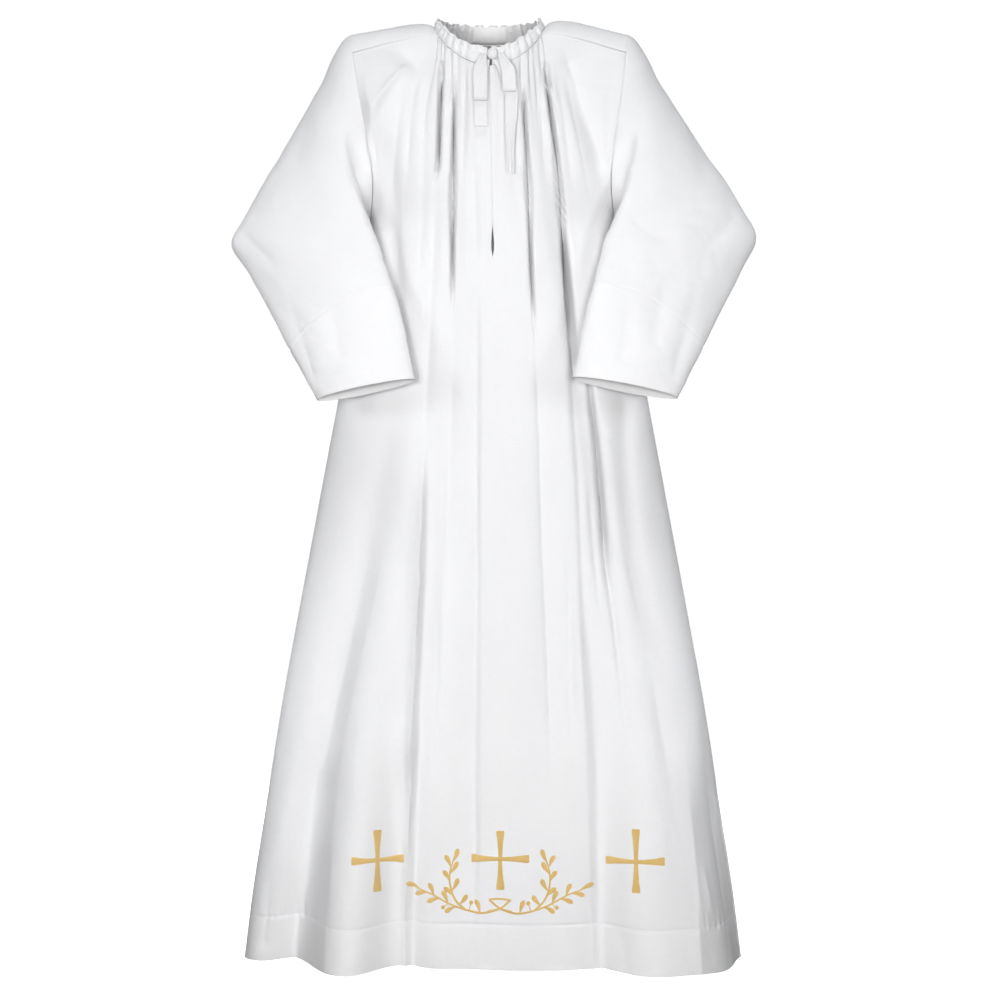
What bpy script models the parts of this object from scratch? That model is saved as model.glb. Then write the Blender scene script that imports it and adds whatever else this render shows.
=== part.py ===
"""Alb: a long, loose church robe of white cloth, hollow and filled out as on a wearer.

Metres, +Z up. The front faces -Y and the wearer's left side is +X. The origin is at the top of the
shoulders, where the wearer holds the robe up. Heights are written as "down", metres below the origin.
"""

import math
from collections import namedtuple

import bmesh
import bpy
import numpy as np

# ---- Driving sizes ----------------------------------------------------------------------------------
ROBE_LENGTH = 1.44  # top of the shoulders to the hem at the side seams
CLOTH = 0.0012  # wall of the body, yokes and sleeves
BAND_CLOTH = 0.0016  # wall of the neckband, which is a folded casing
TAPE_CLOTH = 0.0010  # wall of the tie
TAPE_WIDTH = 0.020
LABEL_CLOTH = 0.0010  # wall of the label
SEAM_GAP = 0.0003  # between pieces that are sewn together
RIDGE_GAP = 0.00035  # more of a gap where the seam is a ridge, as at the top of the armhole
SLIT_DEPTH = 0.378  # how far down the front slit ends
SLIT_CLOSED, SLIT_OPEN = 0.0006, 0.0022  # half the slit's width along most of it and just above its end
UNDERARM = 0.33  # how far down the armholes end
WAIST = 0.40
GATHER_HEIGHT = 0.0022  # how far a gather stands out at the neck seam
GATHER_SWELL = 0.0044  # the same, just below the seam
RUFFLE_HEIGHT = 0.0030  # how far the neckband's upper edge ripples outwards
RUFFLE_DIP = 0.0012  # how far it ripples up and down
NECK_SHARE = 0.62  # share of a panel's half width that is gathered into the neckband
LEAN = -0.0055  # how far the shoulders sit to one side of the hem's middle

FRONT, BACK = -1, 1

# ---- The neck ---------------------------------------------------------------------------------------
# Angles go round the neck from the middle of the front (0) over the wearer's left (90) to the back (180).
YOKE_START, YOKE_END = 68.0, 112.0
NECK_MIDDLE = -0.010  # y of the neck's centre
Ring = namedtuple("Ring", "radius front_z side_z back_z")
NECK_SEAM = Ring(radius=0.085, front_z=-0.0904, side_z=-0.017, back_z=-0.0276)
NECK_TOP = Ring(radius=0.077, front_z=-0.0615, side_z=-0.003, back_z=0.002)
BAND_LIFT = 0.0008  # how far the neckband's lower edge stands above the neck seam at the front
BAND_LIFT_MORE = 0.0008  # and how much farther at the sides, where the band leans in more
NECK_SLIT = 2.2  # angle from the middle of the front to each end of the neckband
GATHERS = ((0.0, 68.0, 8), (68.0, 112.0, 3), (112.0, 248.0, 14), (248.0, 292.0, 3), (292.0, 360.0, 8))

LABEL_HALF_ANGLE, LABEL_COLUMNS = 19, 11  # the label's reach to each side, and its columns
LABEL_ROWS = (0.90, 0.62, 0.35, 0.10)  # its rows, as shares of the neckband's height

# ---- The yokes --------------------------------------------------------------------------------------
YOKE_HALF_WIDTH = 0.036
YOKE_END_HALF = 0.040  # half the yoke's width along the armhole
YOKE_END_X, YOKE_END_Z = 0.2125, -0.027  # where the middle of that end lies
YOKE_END_TUCK = 0.005  # how far its corners lie nearer the neck
YOKE_END_DROP = 0.034  # how far its corners lie lower
YOKE_RISE_LEFT, YOKE_RISE_RIGHT = 0.048, 0.030  # size of the hump that each yoke makes near the neck
YOKE_CLEAR_FRONT = 0.00045 / YOKE_HALF_WIDTH  # gap at the front seam, as a share of the half width
YOKE_CLEAR_BACK = 0.0009 / YOKE_HALF_WIDTH  # the same at the back seam, which is a ridge

YOKE_COLUMNS = (0.002, 0.03, 0.09, 0.2, 0.36, 0.54, 0.72, 0.88, 1)  # shares of the way to the armhole

# ---- The body, a row for each level -----------------------------------------------------------------
# edge: half distance between the armholes, and lower down between the side seams.
# front_edge, back_edge: how far the armhole edge lies in front of or behind the middle.
# front, back: how far the middle of each panel lies in front of or behind the middle.
Level = namedtuple("Level", "down edge front_edge back_edge front back")
LEVELS = (
    Level(0.00, 0.2120, 0.020, 0.020, 0.064, 0.064),
    Level(0.06, 0.2095, 0.037, 0.037, 0.088, 0.082),
    Level(0.12, 0.2010, 0.060, 0.062, 0.104, 0.102),
    Level(0.20, 0.1870, 0.076, 0.078, 0.117, 0.114),
    Level(0.27, 0.1800, 0.064, 0.064, 0.124, 0.117),
    Level(UNDERARM, 0.1900, 0.000, 0.000, 0.127, 0.115),
    Level(0.45, 0.2125, 0.000, 0.000, 0.126, 0.112),
    Level(0.60, 0.2400, 0.000, 0.000, 0.123, 0.112),
    Level(0.75, 0.2680, 0.000, 0.000, 0.120, 0.114),
    Level(0.90, 0.2960, 0.000, 0.000, 0.118, 0.117),
    Level(1.05, 0.3235, 0.000, 0.000, 0.116, 0.121),
    Level(1.20, 0.3470, 0.000, 0.000, 0.115, 0.125),
    Level(1.35, 0.3700, 0.000, 0.000, 0.114, 0.130),
    Level(ROBE_LENGTH, 0.3810, 0.000, 0.000, 0.114, 0.132),
)
ROUND_FROM, ROUND_BY = 0.20, 0.36  # levels between which the section turns from an arch to an oval
TOP_EFFECT = 0.22  # how far below its upper edge a panel still follows that edge's shape
FOLDS_FROM = 0.06  # how far below its upper edge a panel's folds reach their full depth
SWELL_BY = 0.02  # how far below the neck seam the gathers swell to their full height

# ---- The folds of each panel, a row for each --------------------------------------------------------
# top, foot: the levels where it starts and ends. at_*: its place at the top, halfway and at the foot,
# as a share of the half width, with the wearer's right negative. wide_*: half its width.
# deep_*: how far it stands out, or in where negative, at the top, halfway and at the foot.
Fold = namedtuple("Fold", "top foot at_top at_mid at_foot wide_top wide_foot deep_top deep_mid deep_foot")
FRONT_FOLDS = (
    Fold(0.50, 1.50, -0.56, -0.74, -0.82, 0.026, 0.050, -0.002, -0.013, -0.030),
    Fold(0.60, 1.50, -0.50, -0.57, -0.55, 0.030, 0.055, 0.001, 0.010, 0.040),
    Fold(0.48, 1.50, -0.42, -0.40, -0.385, 0.020, 0.030, -0.003, -0.013, -0.052),
    Fold(0.55, 1.05, -0.25, -0.25, -0.24, 0.018, 0.022, -0.001, -0.007, 0.000),
    Fold(0.55, 1.50, -0.09, -0.11, -0.13, 0.022, 0.045, -0.001, -0.008, -0.010),
    Fold(0.45, 1.50, 0.30, 0.30, 0.27, 0.018, 0.028, -0.001, -0.007, -0.002),
    Fold(0.10, 0.86, 0.43, 0.56, 0.60, 0.012, 0.018, -0.003, -0.009, -0.006),
    Fold(0.72, 1.50, 0.60, 0.50, 0.405, 0.020, 0.028, -0.001, -0.010, -0.026),
    Fold(0.65, 1.50, 0.68, 0.67, 0.62, 0.045, 0.070, 0.001, 0.012, 0.046),
    Fold(0.85, 1.50, 0.90, 0.88, 0.86, 0.045, 0.060, 0.000, 0.014, 0.044),
    Fold(0.52, 1.00, 0.87, 0.76, 0.79, 0.018, 0.024, -0.001, -0.008, -0.001),
    Fold(0.04, 0.28, 0.58, 0.78, 0.95, 0.014, 0.014, -0.002, -0.008, -0.003),
    Fold(0.03, 0.19, -0.62, -0.80, -0.93, 0.020, 0.018, -0.003, -0.009, -0.003),
    Fold(0.17, 0.56, -0.93, -0.76, -0.58, 0.014, 0.018, -0.002, -0.008, -0.002),
    Fold(0.12, 0.95, -0.30, -0.27, -0.25, 0.010, 0.016, -0.002, -0.004, -0.001),
)
BACK_FOLDS = (
    Fold(0.50, 1.50, -0.62, -0.70, -0.70, 0.024, 0.034, -0.002, -0.014, -0.040),
    Fold(0.60, 1.50, -0.42, -0.46, -0.50, 0.030, 0.052, 0.001, 0.010, 0.034),
    Fold(0.16, 1.50, -0.22, -0.26, -0.28, 0.018, 0.028, -0.003, -0.011, -0.036),
    Fold(0.70, 1.50, -0.04, -0.04, -0.06, 0.034, 0.058, 0.001, 0.008, 0.024),
    Fold(0.20, 1.50, 0.16, 0.18, 0.20, 0.018, 0.028, -0.003, -0.011, -0.034),
    Fold(0.60, 1.50, 0.38, 0.40, 0.44, 0.030, 0.056, 0.001, 0.010, 0.036),
    Fold(0.46, 1.50, 0.60, 0.64, 0.66, 0.022, 0.032, -0.002, -0.014, -0.038),
    Fold(0.85, 1.50, 0.86, 0.87, 0.87, 0.040, 0.050, 0.000, 0.008, 0.026),
    Fold(0.85, 1.50, -0.88, -0.89, -0.89, 0.040, 0.050, 0.000, 0.008, 0.024),
    Fold(0.04, 0.30, 0.60, 0.78, 0.94, 0.014, 0.016, -0.002, -0.007, -0.002),
    Fold(0.04, 0.30, -0.60, -0.78, -0.94, 0.014, 0.016, -0.002, -0.007, -0.002),
)
HEM_SAG = 0.12  # how much lower the hem hangs for each metre that a fold stands out

# ---- The sleeves, a row for each station ------------------------------------------------------------
# along: metres down the outer edge from the armhole. outer, inner: the places of the flattened
# sleeve's two edges. front, back: how far its two faces bulge from the line between those edges.
Station = namedtuple("Station", "along outer inner front back")
SLEEVE = (
    Station(0.080, (0.262, -0.002, -0.105), (0.190, -0.078, -0.306), 0.044, 0.092),
    Station(0.195, (0.325, -0.006, -0.204), (0.175, -0.100, -0.334), 0.042, 0.074),
    Station(0.300, (0.383, -0.012, -0.297), (0.164, -0.112, -0.362), 0.038, 0.058),
    Station(0.350, (0.402, -0.018, -0.338), (0.157, -0.119, -0.388), 0.036, 0.048),
    Station(0.410, (0.380, -0.036, -0.387), (0.149, -0.128, -0.418), 0.034, 0.040),
    Station(0.500, (0.337, -0.072, -0.468), (0.137, -0.141, -0.466), 0.031, 0.034),
    Station(0.580, (0.302, -0.104, -0.535), (0.127, -0.152, -0.515), 0.028, 0.029),
    Station(0.645, (0.273, -0.128, -0.589), (0.118, -0.160, -0.561), 0.025, 0.025),
)
# How the wearer's right sleeve differs at each station: how far its outer and inner edges lie nearer
# the middle, and how much lower it hangs.
Shift = namedtuple("Shift", "outer_in inner_in lower")
RIGHT_SHIFTS = (
    Shift(0.000, 0.000, 0.004),
    Shift(0.000, 0.000, 0.011),
    Shift(0.001, 0.000, 0.016),
    Shift(0.003, 0.000, 0.011),
    Shift(0.008, 0.002, 0.007),
    Shift(0.010, 0.003, 0.005),
    Shift(0.012, 0.004, 0.004),
    Shift(0.0135, 0.004, 0.003),
)
LEFT_SHIFTS = (Shift(0, 0, 0),) * len(SLEEVE)
SLEEVE_ROWS_BETWEEN = 2
CAP_REACH = 0.004  # how far the sleeve runs straight on from the armhole before it bends
CAP_DROP = 0.35  # how steeply the sleeve's first strip falls at the top of the shoulder
UNDER_WAY_FRONT = (0.75, -0.45, -0.45)  # which way the sleeve leaves the armhole near the underarm, in front
UNDER_WAY_BACK = (0.85, -0.10, -0.50)  # and behind

# ---- The tie, a row for each place along the tape ---------------------------------------------------
# x, down: the middle of the tape, before the robe's lean. width: its share of the tape's width.
# off: how far its outer face lies in front of the cloth. turn: degrees turned about its length.
TapePlace = namedtuple("TapePlace", "x down width off turn")
TIES = {
    "tie_tail_right": (
        TapePlace(-0.0040, 0.0825, 0.50, 0.0045, 0),
        TapePlace(-0.0120, 0.1020, 0.95, 0.0078, 0),
        TapePlace(-0.0140, 0.1450, 1.00, 0.0074, 0),
        TapePlace(-0.0140, 0.1860, 1.00, 0.0070, 0),
    ),
    "tie_tail_left": (
        TapePlace(0.0100, 0.0825, 0.50, 0.0045, 0),
        TapePlace(0.0240, 0.1050, 0.95, 0.0078, 0),
        TapePlace(0.0315, 0.1350, 1.00, 0.0082, 8),
        TapePlace(0.0305, 0.1700, 1.00, 0.0092, 32),
        TapePlace(0.0285, 0.2100, 1.00, 0.0105, 53),
        TapePlace(0.0284, 0.2576, 1.00, 0.0110, 58),
    ),
    "tie_loop_right": (
        TapePlace(-0.0080, 0.0740, 0.40, 0.0070, 0),
        TapePlace(-0.0125, 0.0880, 0.80, 0.0130, 0),
        TapePlace(-0.0140, 0.1020, 1.00, 0.0165, 0),
        TapePlace(-0.0140, 0.1320, 1.00, 0.0160, 0),
        TapePlace(-0.0140, 0.1450, 1.00, 0.0140, 0),
        TapePlace(-0.0140, 0.1475, 1.00, 0.0118, 0),
        TapePlace(-0.0140, 0.1440, 1.00, 0.0102, 0),
        TapePlace(-0.0140, 0.1250, 1.00, 0.0098, 0),
        TapePlace(-0.0140, 0.1020, 1.00, 0.0098, 0),
        TapePlace(-0.0125, 0.0880, 0.80, 0.0074, 0),
        TapePlace(-0.0080, 0.0775, 0.40, 0.0040, 0),
    ),
    "tie_loop_left": (
        TapePlace(0.0160, 0.0730, 0.40, 0.0070, 0),
        TapePlace(0.0220, 0.0860, 0.80, 0.0130, 0),
        TapePlace(0.0270, 0.1000, 1.00, 0.0165, 0),
        TapePlace(0.0285, 0.1200, 1.00, 0.0160, 0),
        TapePlace(0.0285, 0.1315, 1.00, 0.0140, 0),
        TapePlace(0.0285, 0.1340, 1.00, 0.0118, 0),
        TapePlace(0.0285, 0.1305, 1.00, 0.0102, 0),
        TapePlace(0.0285, 0.1180, 1.00, 0.0098, 0),
        TapePlace(0.0270, 0.1000, 1.00, 0.0098, 0),
        TapePlace(0.0220, 0.0860, 0.80, 0.0074, 0),
        TapePlace(0.0160, 0.0770, 0.40, 0.0040, 0),
    ),
}
TAPE_ROWS_BETWEEN = 2
TAPE_CURVE = 0.0005  # how far the middle of the tape stands out from its edges
KNOT_MIDDLE = (0.0040, -0.0966, -0.0733)
KNOT_SIZE = (0.0150, 0.0080, 0.0165)
KNOT_SWELL = 1.25  # rounding a block shrinks it by this much


# ---- Curves -----------------------------------------------------------------------------------------
def mix(a, b, t):
    return a + (b - a) * t


def ease(t):
    """0 up to t = 0, 1 from t = 1, and a smooth step between."""
    t = min(max(t, 0.0), 1.0)
    return t * t * (3 - 2 * t)


def smooth_curve(places, values, at):
    """The value at a place on a smooth curve through the given values."""
    places, values = np.asarray(places, float), np.asarray(values, float)
    slopes = np.gradient(values, places, axis=0)
    k = int(np.clip(np.searchsorted(places, at) - 1, 0, len(places) - 2))
    width = places[k + 1] - places[k]
    t = min(max((at - places[k]) / width, 0.0), 1.0)
    near = values[k] * (1 + 2 * t) * (1 - t) ** 2 + slopes[k] * width * t * (1 - t) ** 2
    far = values[k + 1] * t * t * (3 - 2 * t) - slopes[k + 1] * width * t * t * (1 - t)
    return near + far


def level_at(down):
    """The body's sizes at a level, read from the table of levels."""
    sizes = [row[1:] for row in LEVELS]
    edge, front_edge, back_edge, front, back = smooth_curve([row.down for row in LEVELS], sizes, down)
    if down >= UNDERARM:
        front_edge = back_edge = 0.0
    return Level(down, edge, front_edge, back_edge, front, back)


def leaned(x, y, z):
    """A point moved sideways with the robe's slight lean, which is spent at the waist."""
    return np.array((x + LEAN * (1 - ease(-z / WAIST)), y, z))


# ---- Neck gathers -----------------------------------------------------------------------------------
def gather_bounds():
    """The angle where each gather starts, going once round the neck, and whether panels share it."""
    bounds = []
    for start, end, count in GATHERS:
        shares = [1 + 0.30 * math.sin(2.3 * i + start) + 0.14 * math.sin(5.1 * i) for i in range(count)]
        steps = np.concatenate([[0.0], np.cumsum(shares)]) / sum(shares)
        on_panel = 0.0 if start in (YOKE_START, 360 - YOKE_END) else 1.0
        bounds += [(start + (end - start) * step, on_panel) for step in steps[:-1]]
    return bounds + [(360.0, 1.0)]


BOUNDS = gather_bounds()


def gather_at(angle):
    """(height of the gather from 0 to about 1, the share of it on the panels, how far down it runs)."""
    angle = angle % 360
    for i, ((start, on_panel), (end, _)) in enumerate(zip(BOUNDS, BOUNDS[1:])):
        if start <= angle <= end:
            place = (angle - start) / (end - start)
            height = 0.8 + 0.35 * math.sin(1.9 * i + 0.6)
            run = 0.11 + 0.05 * math.sin(2.7 * i + 1.1)
            return height * (0.5 - 0.5 * math.cos(2 * math.pi * place)), on_panel, run
    return 0.0, 1.0, 0.1


def calm(angle):
    """Gathers are low beside the front slit."""
    away = min(angle % 360, 360 - angle % 360)
    return 0.3 + 0.7 * ease((away - 8) / 16)


def gather_angles(first, last):
    """Four angles for each gather from first to last: where it starts, its two slopes and its crest."""
    angles = []
    for (start, _), (end, _) in zip(BOUNDS, BOUNDS[1:]):
        if first - 0.01 <= start and end <= last + 0.01:
            angles += [start + (end - start) * quarter / 4 for quarter in range(4)]
    return angles + [last]


def ring_point(ring, angle, out=0.0):
    """A point on a ring round the neck, moved outwards."""
    turn = math.radians(angle)
    forward = math.cos(turn)
    if forward > 0:
        z = ring.side_z + (ring.front_z - ring.side_z) * forward**1.5
    else:
        z = ring.side_z + (ring.back_z - ring.side_z) * -forward
    reach = ring.radius + out
    return np.array((reach * math.sin(turn), NECK_MIDDLE - reach * forward, z))


# ---- Yokes ------------------------------------------------------------------------------------------
def yoke_point(along, across, hump=YOKE_RISE_LEFT):
    """A point on the wearer's left yoke. along: 0 at the neck, 1 at the armhole. across: -1 at the
    front seam, 1 at the back seam. hump: how much it rises near the neck."""
    neck = ring_point(NECK_SEAM, mix(YOKE_START, YOKE_END, (across + 1) / 2))
    end_x = YOKE_END_X - YOKE_END_TUCK * across**2
    armhole = np.array((end_x, YOKE_END_HALF * across, YOKE_END_Z - YOKE_END_DROP * abs(across) ** 2.4))
    rise = hump * along**0.6 * (1 - along) ** 1.5 * (1 - 0.55 * across**2)
    return mix(neck, armhole, along) + np.array((0, 0, rise))


# ---- Body panels ------------------------------------------------------------------------------------
def roundness(down):
    return ease((down - ROUND_FROM) / (ROUND_BY - ROUND_FROM))


def form_point(side, u, down):
    """A point of the front or back before its folds, and the way out from it. u: -1 to 1 across."""
    level = level_at(down)
    middle, edge = (level.front, level.front_edge) if side == FRONT else (level.back, level.back_edge)
    oval = roundness(down)
    turn = u * math.pi / 2
    across = mix(u, math.sin(turn), oval)
    bulge = mix(1 - abs(u) ** 2.6, math.cos(turn), oval)
    point = np.array((level.edge * across, side * (edge + (middle - edge) * bulge + SEAM_GAP / 2), -down))
    outward = np.array((across * oval / level.edge, side * mix(1, bulge, oval) / middle, 0))
    return point, outward / np.linalg.norm(outward)


def top_point(side, u):
    """The panel's upper edge: along the neck seam, then along the yoke's seam to the armhole."""
    share = min(abs(u) / NECK_SHARE, 1.0)
    turn = YOKE_START * share
    if abs(u) <= NECK_SHARE:
        point = ring_point(NECK_SEAM, turn if side == FRONT else 180 - turn)
    else:
        hump = YOKE_RISE_LEFT if u > 0 else YOKE_RISE_RIGHT
        point = yoke_point((abs(u) - NECK_SHARE) / (1 - NECK_SHARE), side, hump)
    return point * np.array((-1 if u < 0 else 1, 1, 1))


def neck_angle(side, u):
    """The angle round the neck that a place on a panel hangs from."""
    angle = YOKE_START * u / NECK_SHARE
    return angle if side == FRONT else 180 - angle


def fold_depth(side, u, down):
    """How far the panel stands out, or in, at a place, from all its folds."""
    level = level_at(down)
    middle = level.front if side == FRONT else level.back
    oval = roundness(down)
    half_round = mix(level.edge, 1.11 * math.hypot(level.edge, middle), oval)
    total = 0.0
    for fold in FRONT_FOLDS if side == FRONT else BACK_FOLDS:
        if not fold.top <= down <= fold.foot:
            continue
        way = (down - fold.top) / (fold.foot - fold.top)
        at = smooth_curve((0, 0.5, 1), (fold.at_top, fold.at_mid, fold.at_foot), way)
        deep = smooth_curve((0, 0.5, 1), (fold.deep_top, fold.deep_mid, fold.deep_foot), way)
        at_u = mix(at, math.asin(min(max(at, -1), 1)) * 2 / math.pi, oval)
        away = (u - at_u) * half_round / mix(fold.wide_top, fold.wide_foot, way)
        ends = ease((down - fold.top) / 0.05) * ease((fold.foot - down) / 0.05)
        total += deep * math.exp(-away * away) * ends
    return total * ease((1 - abs(u)) / 0.12)


def panel_point(side, u, share):
    """A point of the finished front or back. share: 0 at the upper edge, 1 at the hem."""
    top = top_point(side, u)
    foot = ROBE_LENGTH + HEM_SAG * fold_depth(side, u, ROBE_LENGTH)
    down = mix(-top[2], foot, share)
    point, outward = form_point(side, u, down)
    below = down + top[2]
    point += (top - form_point(side, u, -top[2])[0]) * (1 - ease(below / TOP_EFFECT))
    point += outward * fold_depth(side, u, down) * ease(below / FOLDS_FROM)
    if abs(u) <= NECK_SHARE:
        angle = neck_angle(side, u)
        height, on_panel, run = gather_at(angle)
        swell = mix(GATHER_HEIGHT, GATHER_SWELL, ease(below / SWELL_BY))
        swell *= 1 - ease((below - SWELL_BY) / run)
        turn = math.radians(angle)
        stand = height * on_panel * swell * calm(angle)
        point += np.array((math.sin(turn), -math.cos(turn), 0)) * stand
    return leaned(*point)


def underarm_share():
    """The row of a panel that passes through the underarm."""
    return (UNDERARM + top_point(FRONT, 1)[2]) / (ROBE_LENGTH + top_point(FRONT, 1)[2])


def slit_share():
    """The row of the front that passes through the end of the slit."""
    return (SLIT_DEPTH + NECK_SEAM.front_z) / (ROBE_LENGTH + NECK_SEAM.front_z)


def slit_half_width(share):
    """Half the gap of the front slit: nearly closed at the neck, and open just above its end."""
    way = share / slit_share()
    return mix(SLIT_CLOSED, SLIT_OPEN, ease((way - 0.75) / 0.12)) if way < 0.999 else 0.0


# ---- Making objects ---------------------------------------------------------------------------------
def cloth_material(name, colour, roughness_value):
    material = bpy.data.materials.new(name)
    material.use_nodes = True
    shader = material.node_tree.nodes["Principled BSDF"]
    shader.inputs["Base Color"].default_value = (*colour, 1)
    shader.inputs["Roughness"].default_value = roughness_value
    shader.inputs["Metallic"].default_value = 0
    return material


def add_cloth(name, faces, material, thickness):
    """An object from faces given by their corners' places, made a wall that grows inwards."""
    mesh = bmesh.new()
    made = {}
    for corners in faces:
        vertices = []
        for corner in corners:
            key = tuple(round(float(value), 7) for value in corner)
            if key not in made:
                made[key] = mesh.verts.new(key)
            vertices.append(made[key])
        mesh.faces.new(vertices)
    data = bpy.data.meshes.new(name)
    mesh.to_mesh(data)
    mesh.free()
    data.shade_smooth()
    piece = bpy.data.objects.new(name, data)
    piece.data.materials.append(material)
    robe.objects.link(piece)
    wall = piece.modifiers.new("wall", "SOLIDIFY")
    wall.thickness = thickness
    wall.offset = -1
    return piece


def strip_faces(upper, lower, turned):
    """Faces between two rows of points. upper and lower map a column's number to its point, and
    lower may leave some columns out."""
    faces = []
    kept = sorted(lower)
    for a, b in zip(kept, kept[1:]):
        top = [upper[column] for column in range(a, b + 1) if column in upper]
        corners = [lower[a], lower[b], *reversed(top)]
        faces.append(corners[::-1] if turned else corners)
    return faces


def add_panel(name, side, shares, fine_rows):
    """The front or the back: rows from the upper edge to the hem, with every second column of the
    gathered part left out below the fine rows."""
    if side == FRONT:
        angles = [angle - 360 for angle in gather_angles(292, 360)] + gather_angles(0, 68)[1:]
    else:
        angles = [180 - angle for angle in reversed(gather_angles(112, 248))]
    neck = [angle * NECK_SHARE / YOKE_START for angle in angles]
    shoulder = [mix(NECK_SHARE, 1, step) for step in (0.16, 0.32, 0.48, 0.64, 0.80, 0.91, 0.97, 1.0)]
    columns = [-u for u in reversed(shoulder)] + neck + shoulder
    first, last = len(shoulder), len(shoulder) + len(neck) - 1
    middle = min(range(len(columns)), key=lambda column: abs(columns[column]))
    faces = []
    for half in (-1, 1):
        rows = []
        for number, share in enumerate(shares):
            row = {}
            for column, u in enumerate(columns):
                if (column - middle) * half < 0:
                    continue
                if number > fine_rows and first < column < last and (column - first) % 2:
                    continue
                row[column] = panel_point(side, u, share)
                if side == FRONT and column == middle:
                    row[column][0] += half * slit_half_width(share)
            rows.append(row)
        for upper, lower in zip(rows, rows[1:]):
            faces += strip_faces(upper, lower, side == BACK)
    return add_cloth(name, faces, white_cloth, CLOTH)


def add_grid(name, points, material, thickness, closed=False):
    """A cloth piece from a grid of points. Seen from outside, each row runs to the right and the
    rows go down. closed joins the last column to the first."""
    faces = []
    for upper, lower in zip(points, points[1:]):
        for k in range(len(upper) - (0 if closed else 1)):
            n = (k + 1) % len(upper)
            faces.append([upper[k], lower[k], lower[n], upper[n]])
    return add_cloth(name, faces, material, thickness)


def mirrored(points):
    """A grid of points of the wearer's left side, made the right side's."""
    return [[np.array((-p[0], p[1], p[2])) for p in reversed(row)] for row in points]


def with_lean(points):
    return [[leaned(*p) for p in row] for row in points]


def yoke_grid(hump):
    """A yoke as for the wearer's left, from the neck to the armhole, rows from the back seam to the front."""
    rows = []
    for across in (1 - YOKE_CLEAR_BACK, 0.75, 0.5, 0.25, 0, -0.25, -0.5, -0.75, YOKE_CLEAR_FRONT - 1):
        rows.append([yoke_point(along, across, hump) for along in YOKE_COLUMNS])
    return rows


def armhole_loop(shares):
    """The armhole's edge and the way the cloth runs on from it, going from the top of the shoulder
    down the front to the underarm and up the back."""
    loop = []
    for across in (0, -0.34, -0.67):
        loop.append((yoke_point(1, across), yoke_point(0.96, across)))
    for share in shares:
        loop.append((panel_raw(FRONT, 1, share), panel_raw(FRONT, 0.97, share)))
    for share in reversed(shares[:-1]):
        loop.append((panel_raw(BACK, 1, share), panel_raw(BACK, 0.97, share)))
    for across in (0.67, 0.34):
        loop.append((yoke_point(1, across), yoke_point(0.96, across)))
    return loop


def panel_raw(side, u, share):
    """A panel's point without the robe's lean."""
    point = panel_point(side, u, share)
    return point - np.array((leaned(0, 0, point[2])[0], 0, 0))


def sleeve_grid(shares, shifts):
    """A sleeve as for the wearer's left: loops from the armhole to the cuff. Seen from outside, each
    runs up the front and down the back."""
    loop = armhole_loop(shares)
    edge = [point for point, _ in loop]
    under, count = len(shares) + 2, len(loop)
    lengths = [np.linalg.norm(edge[(k + 1) % count] - edge[k]) for k in range(count)]
    round_edge = np.concatenate([[0.0], np.cumsum(lengths)])
    first, second = [], []
    for k, (point, inside) in enumerate(loop):
        near_underarm = ease((-point[2] - UNDERARM + 0.13) / 0.08)
        under_way = np.array(UNDER_WAY_FRONT if k <= under else UNDER_WAY_BACK)
        onward = mix((point - inside) / np.linalg.norm(point - inside), under_way, near_underarm)
        near_top = ease((point[2] + 0.10) / 0.05)
        onward[2] -= CAP_DROP * near_top
        onward /= np.linalg.norm(onward)
        first.append(point + onward * (SEAM_GAP + RIDGE_GAP * near_top))
        second.append(point + onward * CAP_REACH)
    loops = [first, second]
    places = [0.0, CAP_REACH] + [station.along for station in SLEEVE]
    for number, station in enumerate(SLEEVE):
        outer = station.outer - np.array((shifts[number].outer_in, 0, shifts[number].lower))
        inner = station.inner - np.array((shifts[number].inner_in, 0, shifts[number].lower))
        before, after = SLEEVE[max(number - 1, 0)], SLEEVE[min(number + 1, len(SLEEVE) - 1)]
        onward = np.array(after.outer) + after.inner - np.array(before.outer) - before.inner
        back = np.cross(outer - inner, onward) * np.array((0, 1, 1))
        back /= np.linalg.norm(back)
        row = []
        for k in range(count):
            if k <= under:
                turn = math.pi * round_edge[k] / round_edge[under]
                bulge = -station.front
            else:
                turn = math.pi * (round_edge[count] - round_edge[k]) / (round_edge[count] - round_edge[under])
                bulge = station.back
            row.append(mix(inner, outer, 0.5 + 0.5 * math.cos(turn)) + back * bulge * math.sin(turn))
        loops.append(row)
    rows = []
    for k in range(count):
        line = [row[k] for row in loops]
        rows.append([smooth_curve(places, line, at) for at in sleeve_places(places)])
    return [list(reversed(loop_points)) for loop_points in zip(*rows)]


def sleeve_places(places):
    """Where the sleeve's loops lie: each station, and loops between them."""
    found = list(places[:2])
    for near, far in zip(places[1:], places[2:]):
        found += [mix(near, far, step / SLEEVE_ROWS_BETWEEN) for step in range(1, SLEEVE_ROWS_BETWEEN + 1)]
    return found


def add_neckband():
    """The gathered casing round the neck, open at the front slit."""
    angles = [a for a in gather_angles(0, 360) if NECK_SLIT < a < 360 - NECK_SLIT]
    angles = [NECK_SLIT, *angles, 360 - NECK_SLIT]
    rows = []
    for rise in (1.0, 0.6, 0.0):
        row = []
        for angle in angles:
            height, on_panel, _ = gather_at(angle)
            low = GATHER_HEIGHT * on_panel
            out = height * calm(angle) * mix(low, RUFFLE_HEIGHT, ease(rise))
            point = mix(ring_point(NECK_SEAM, angle, out), ring_point(NECK_TOP, angle, out), rise)
            point[2] += (BAND_LIFT + BAND_LIFT_MORE * abs(math.sin(math.radians(angle)))) * (1 - rise)
            point[2] += RUFFLE_DIP * rise * math.sin(math.radians(angle * 23))
            row.append(leaned(*point))
        rows.append(row)
    return add_grid("neckband", rows, white_cloth, BAND_CLOTH)


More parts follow.
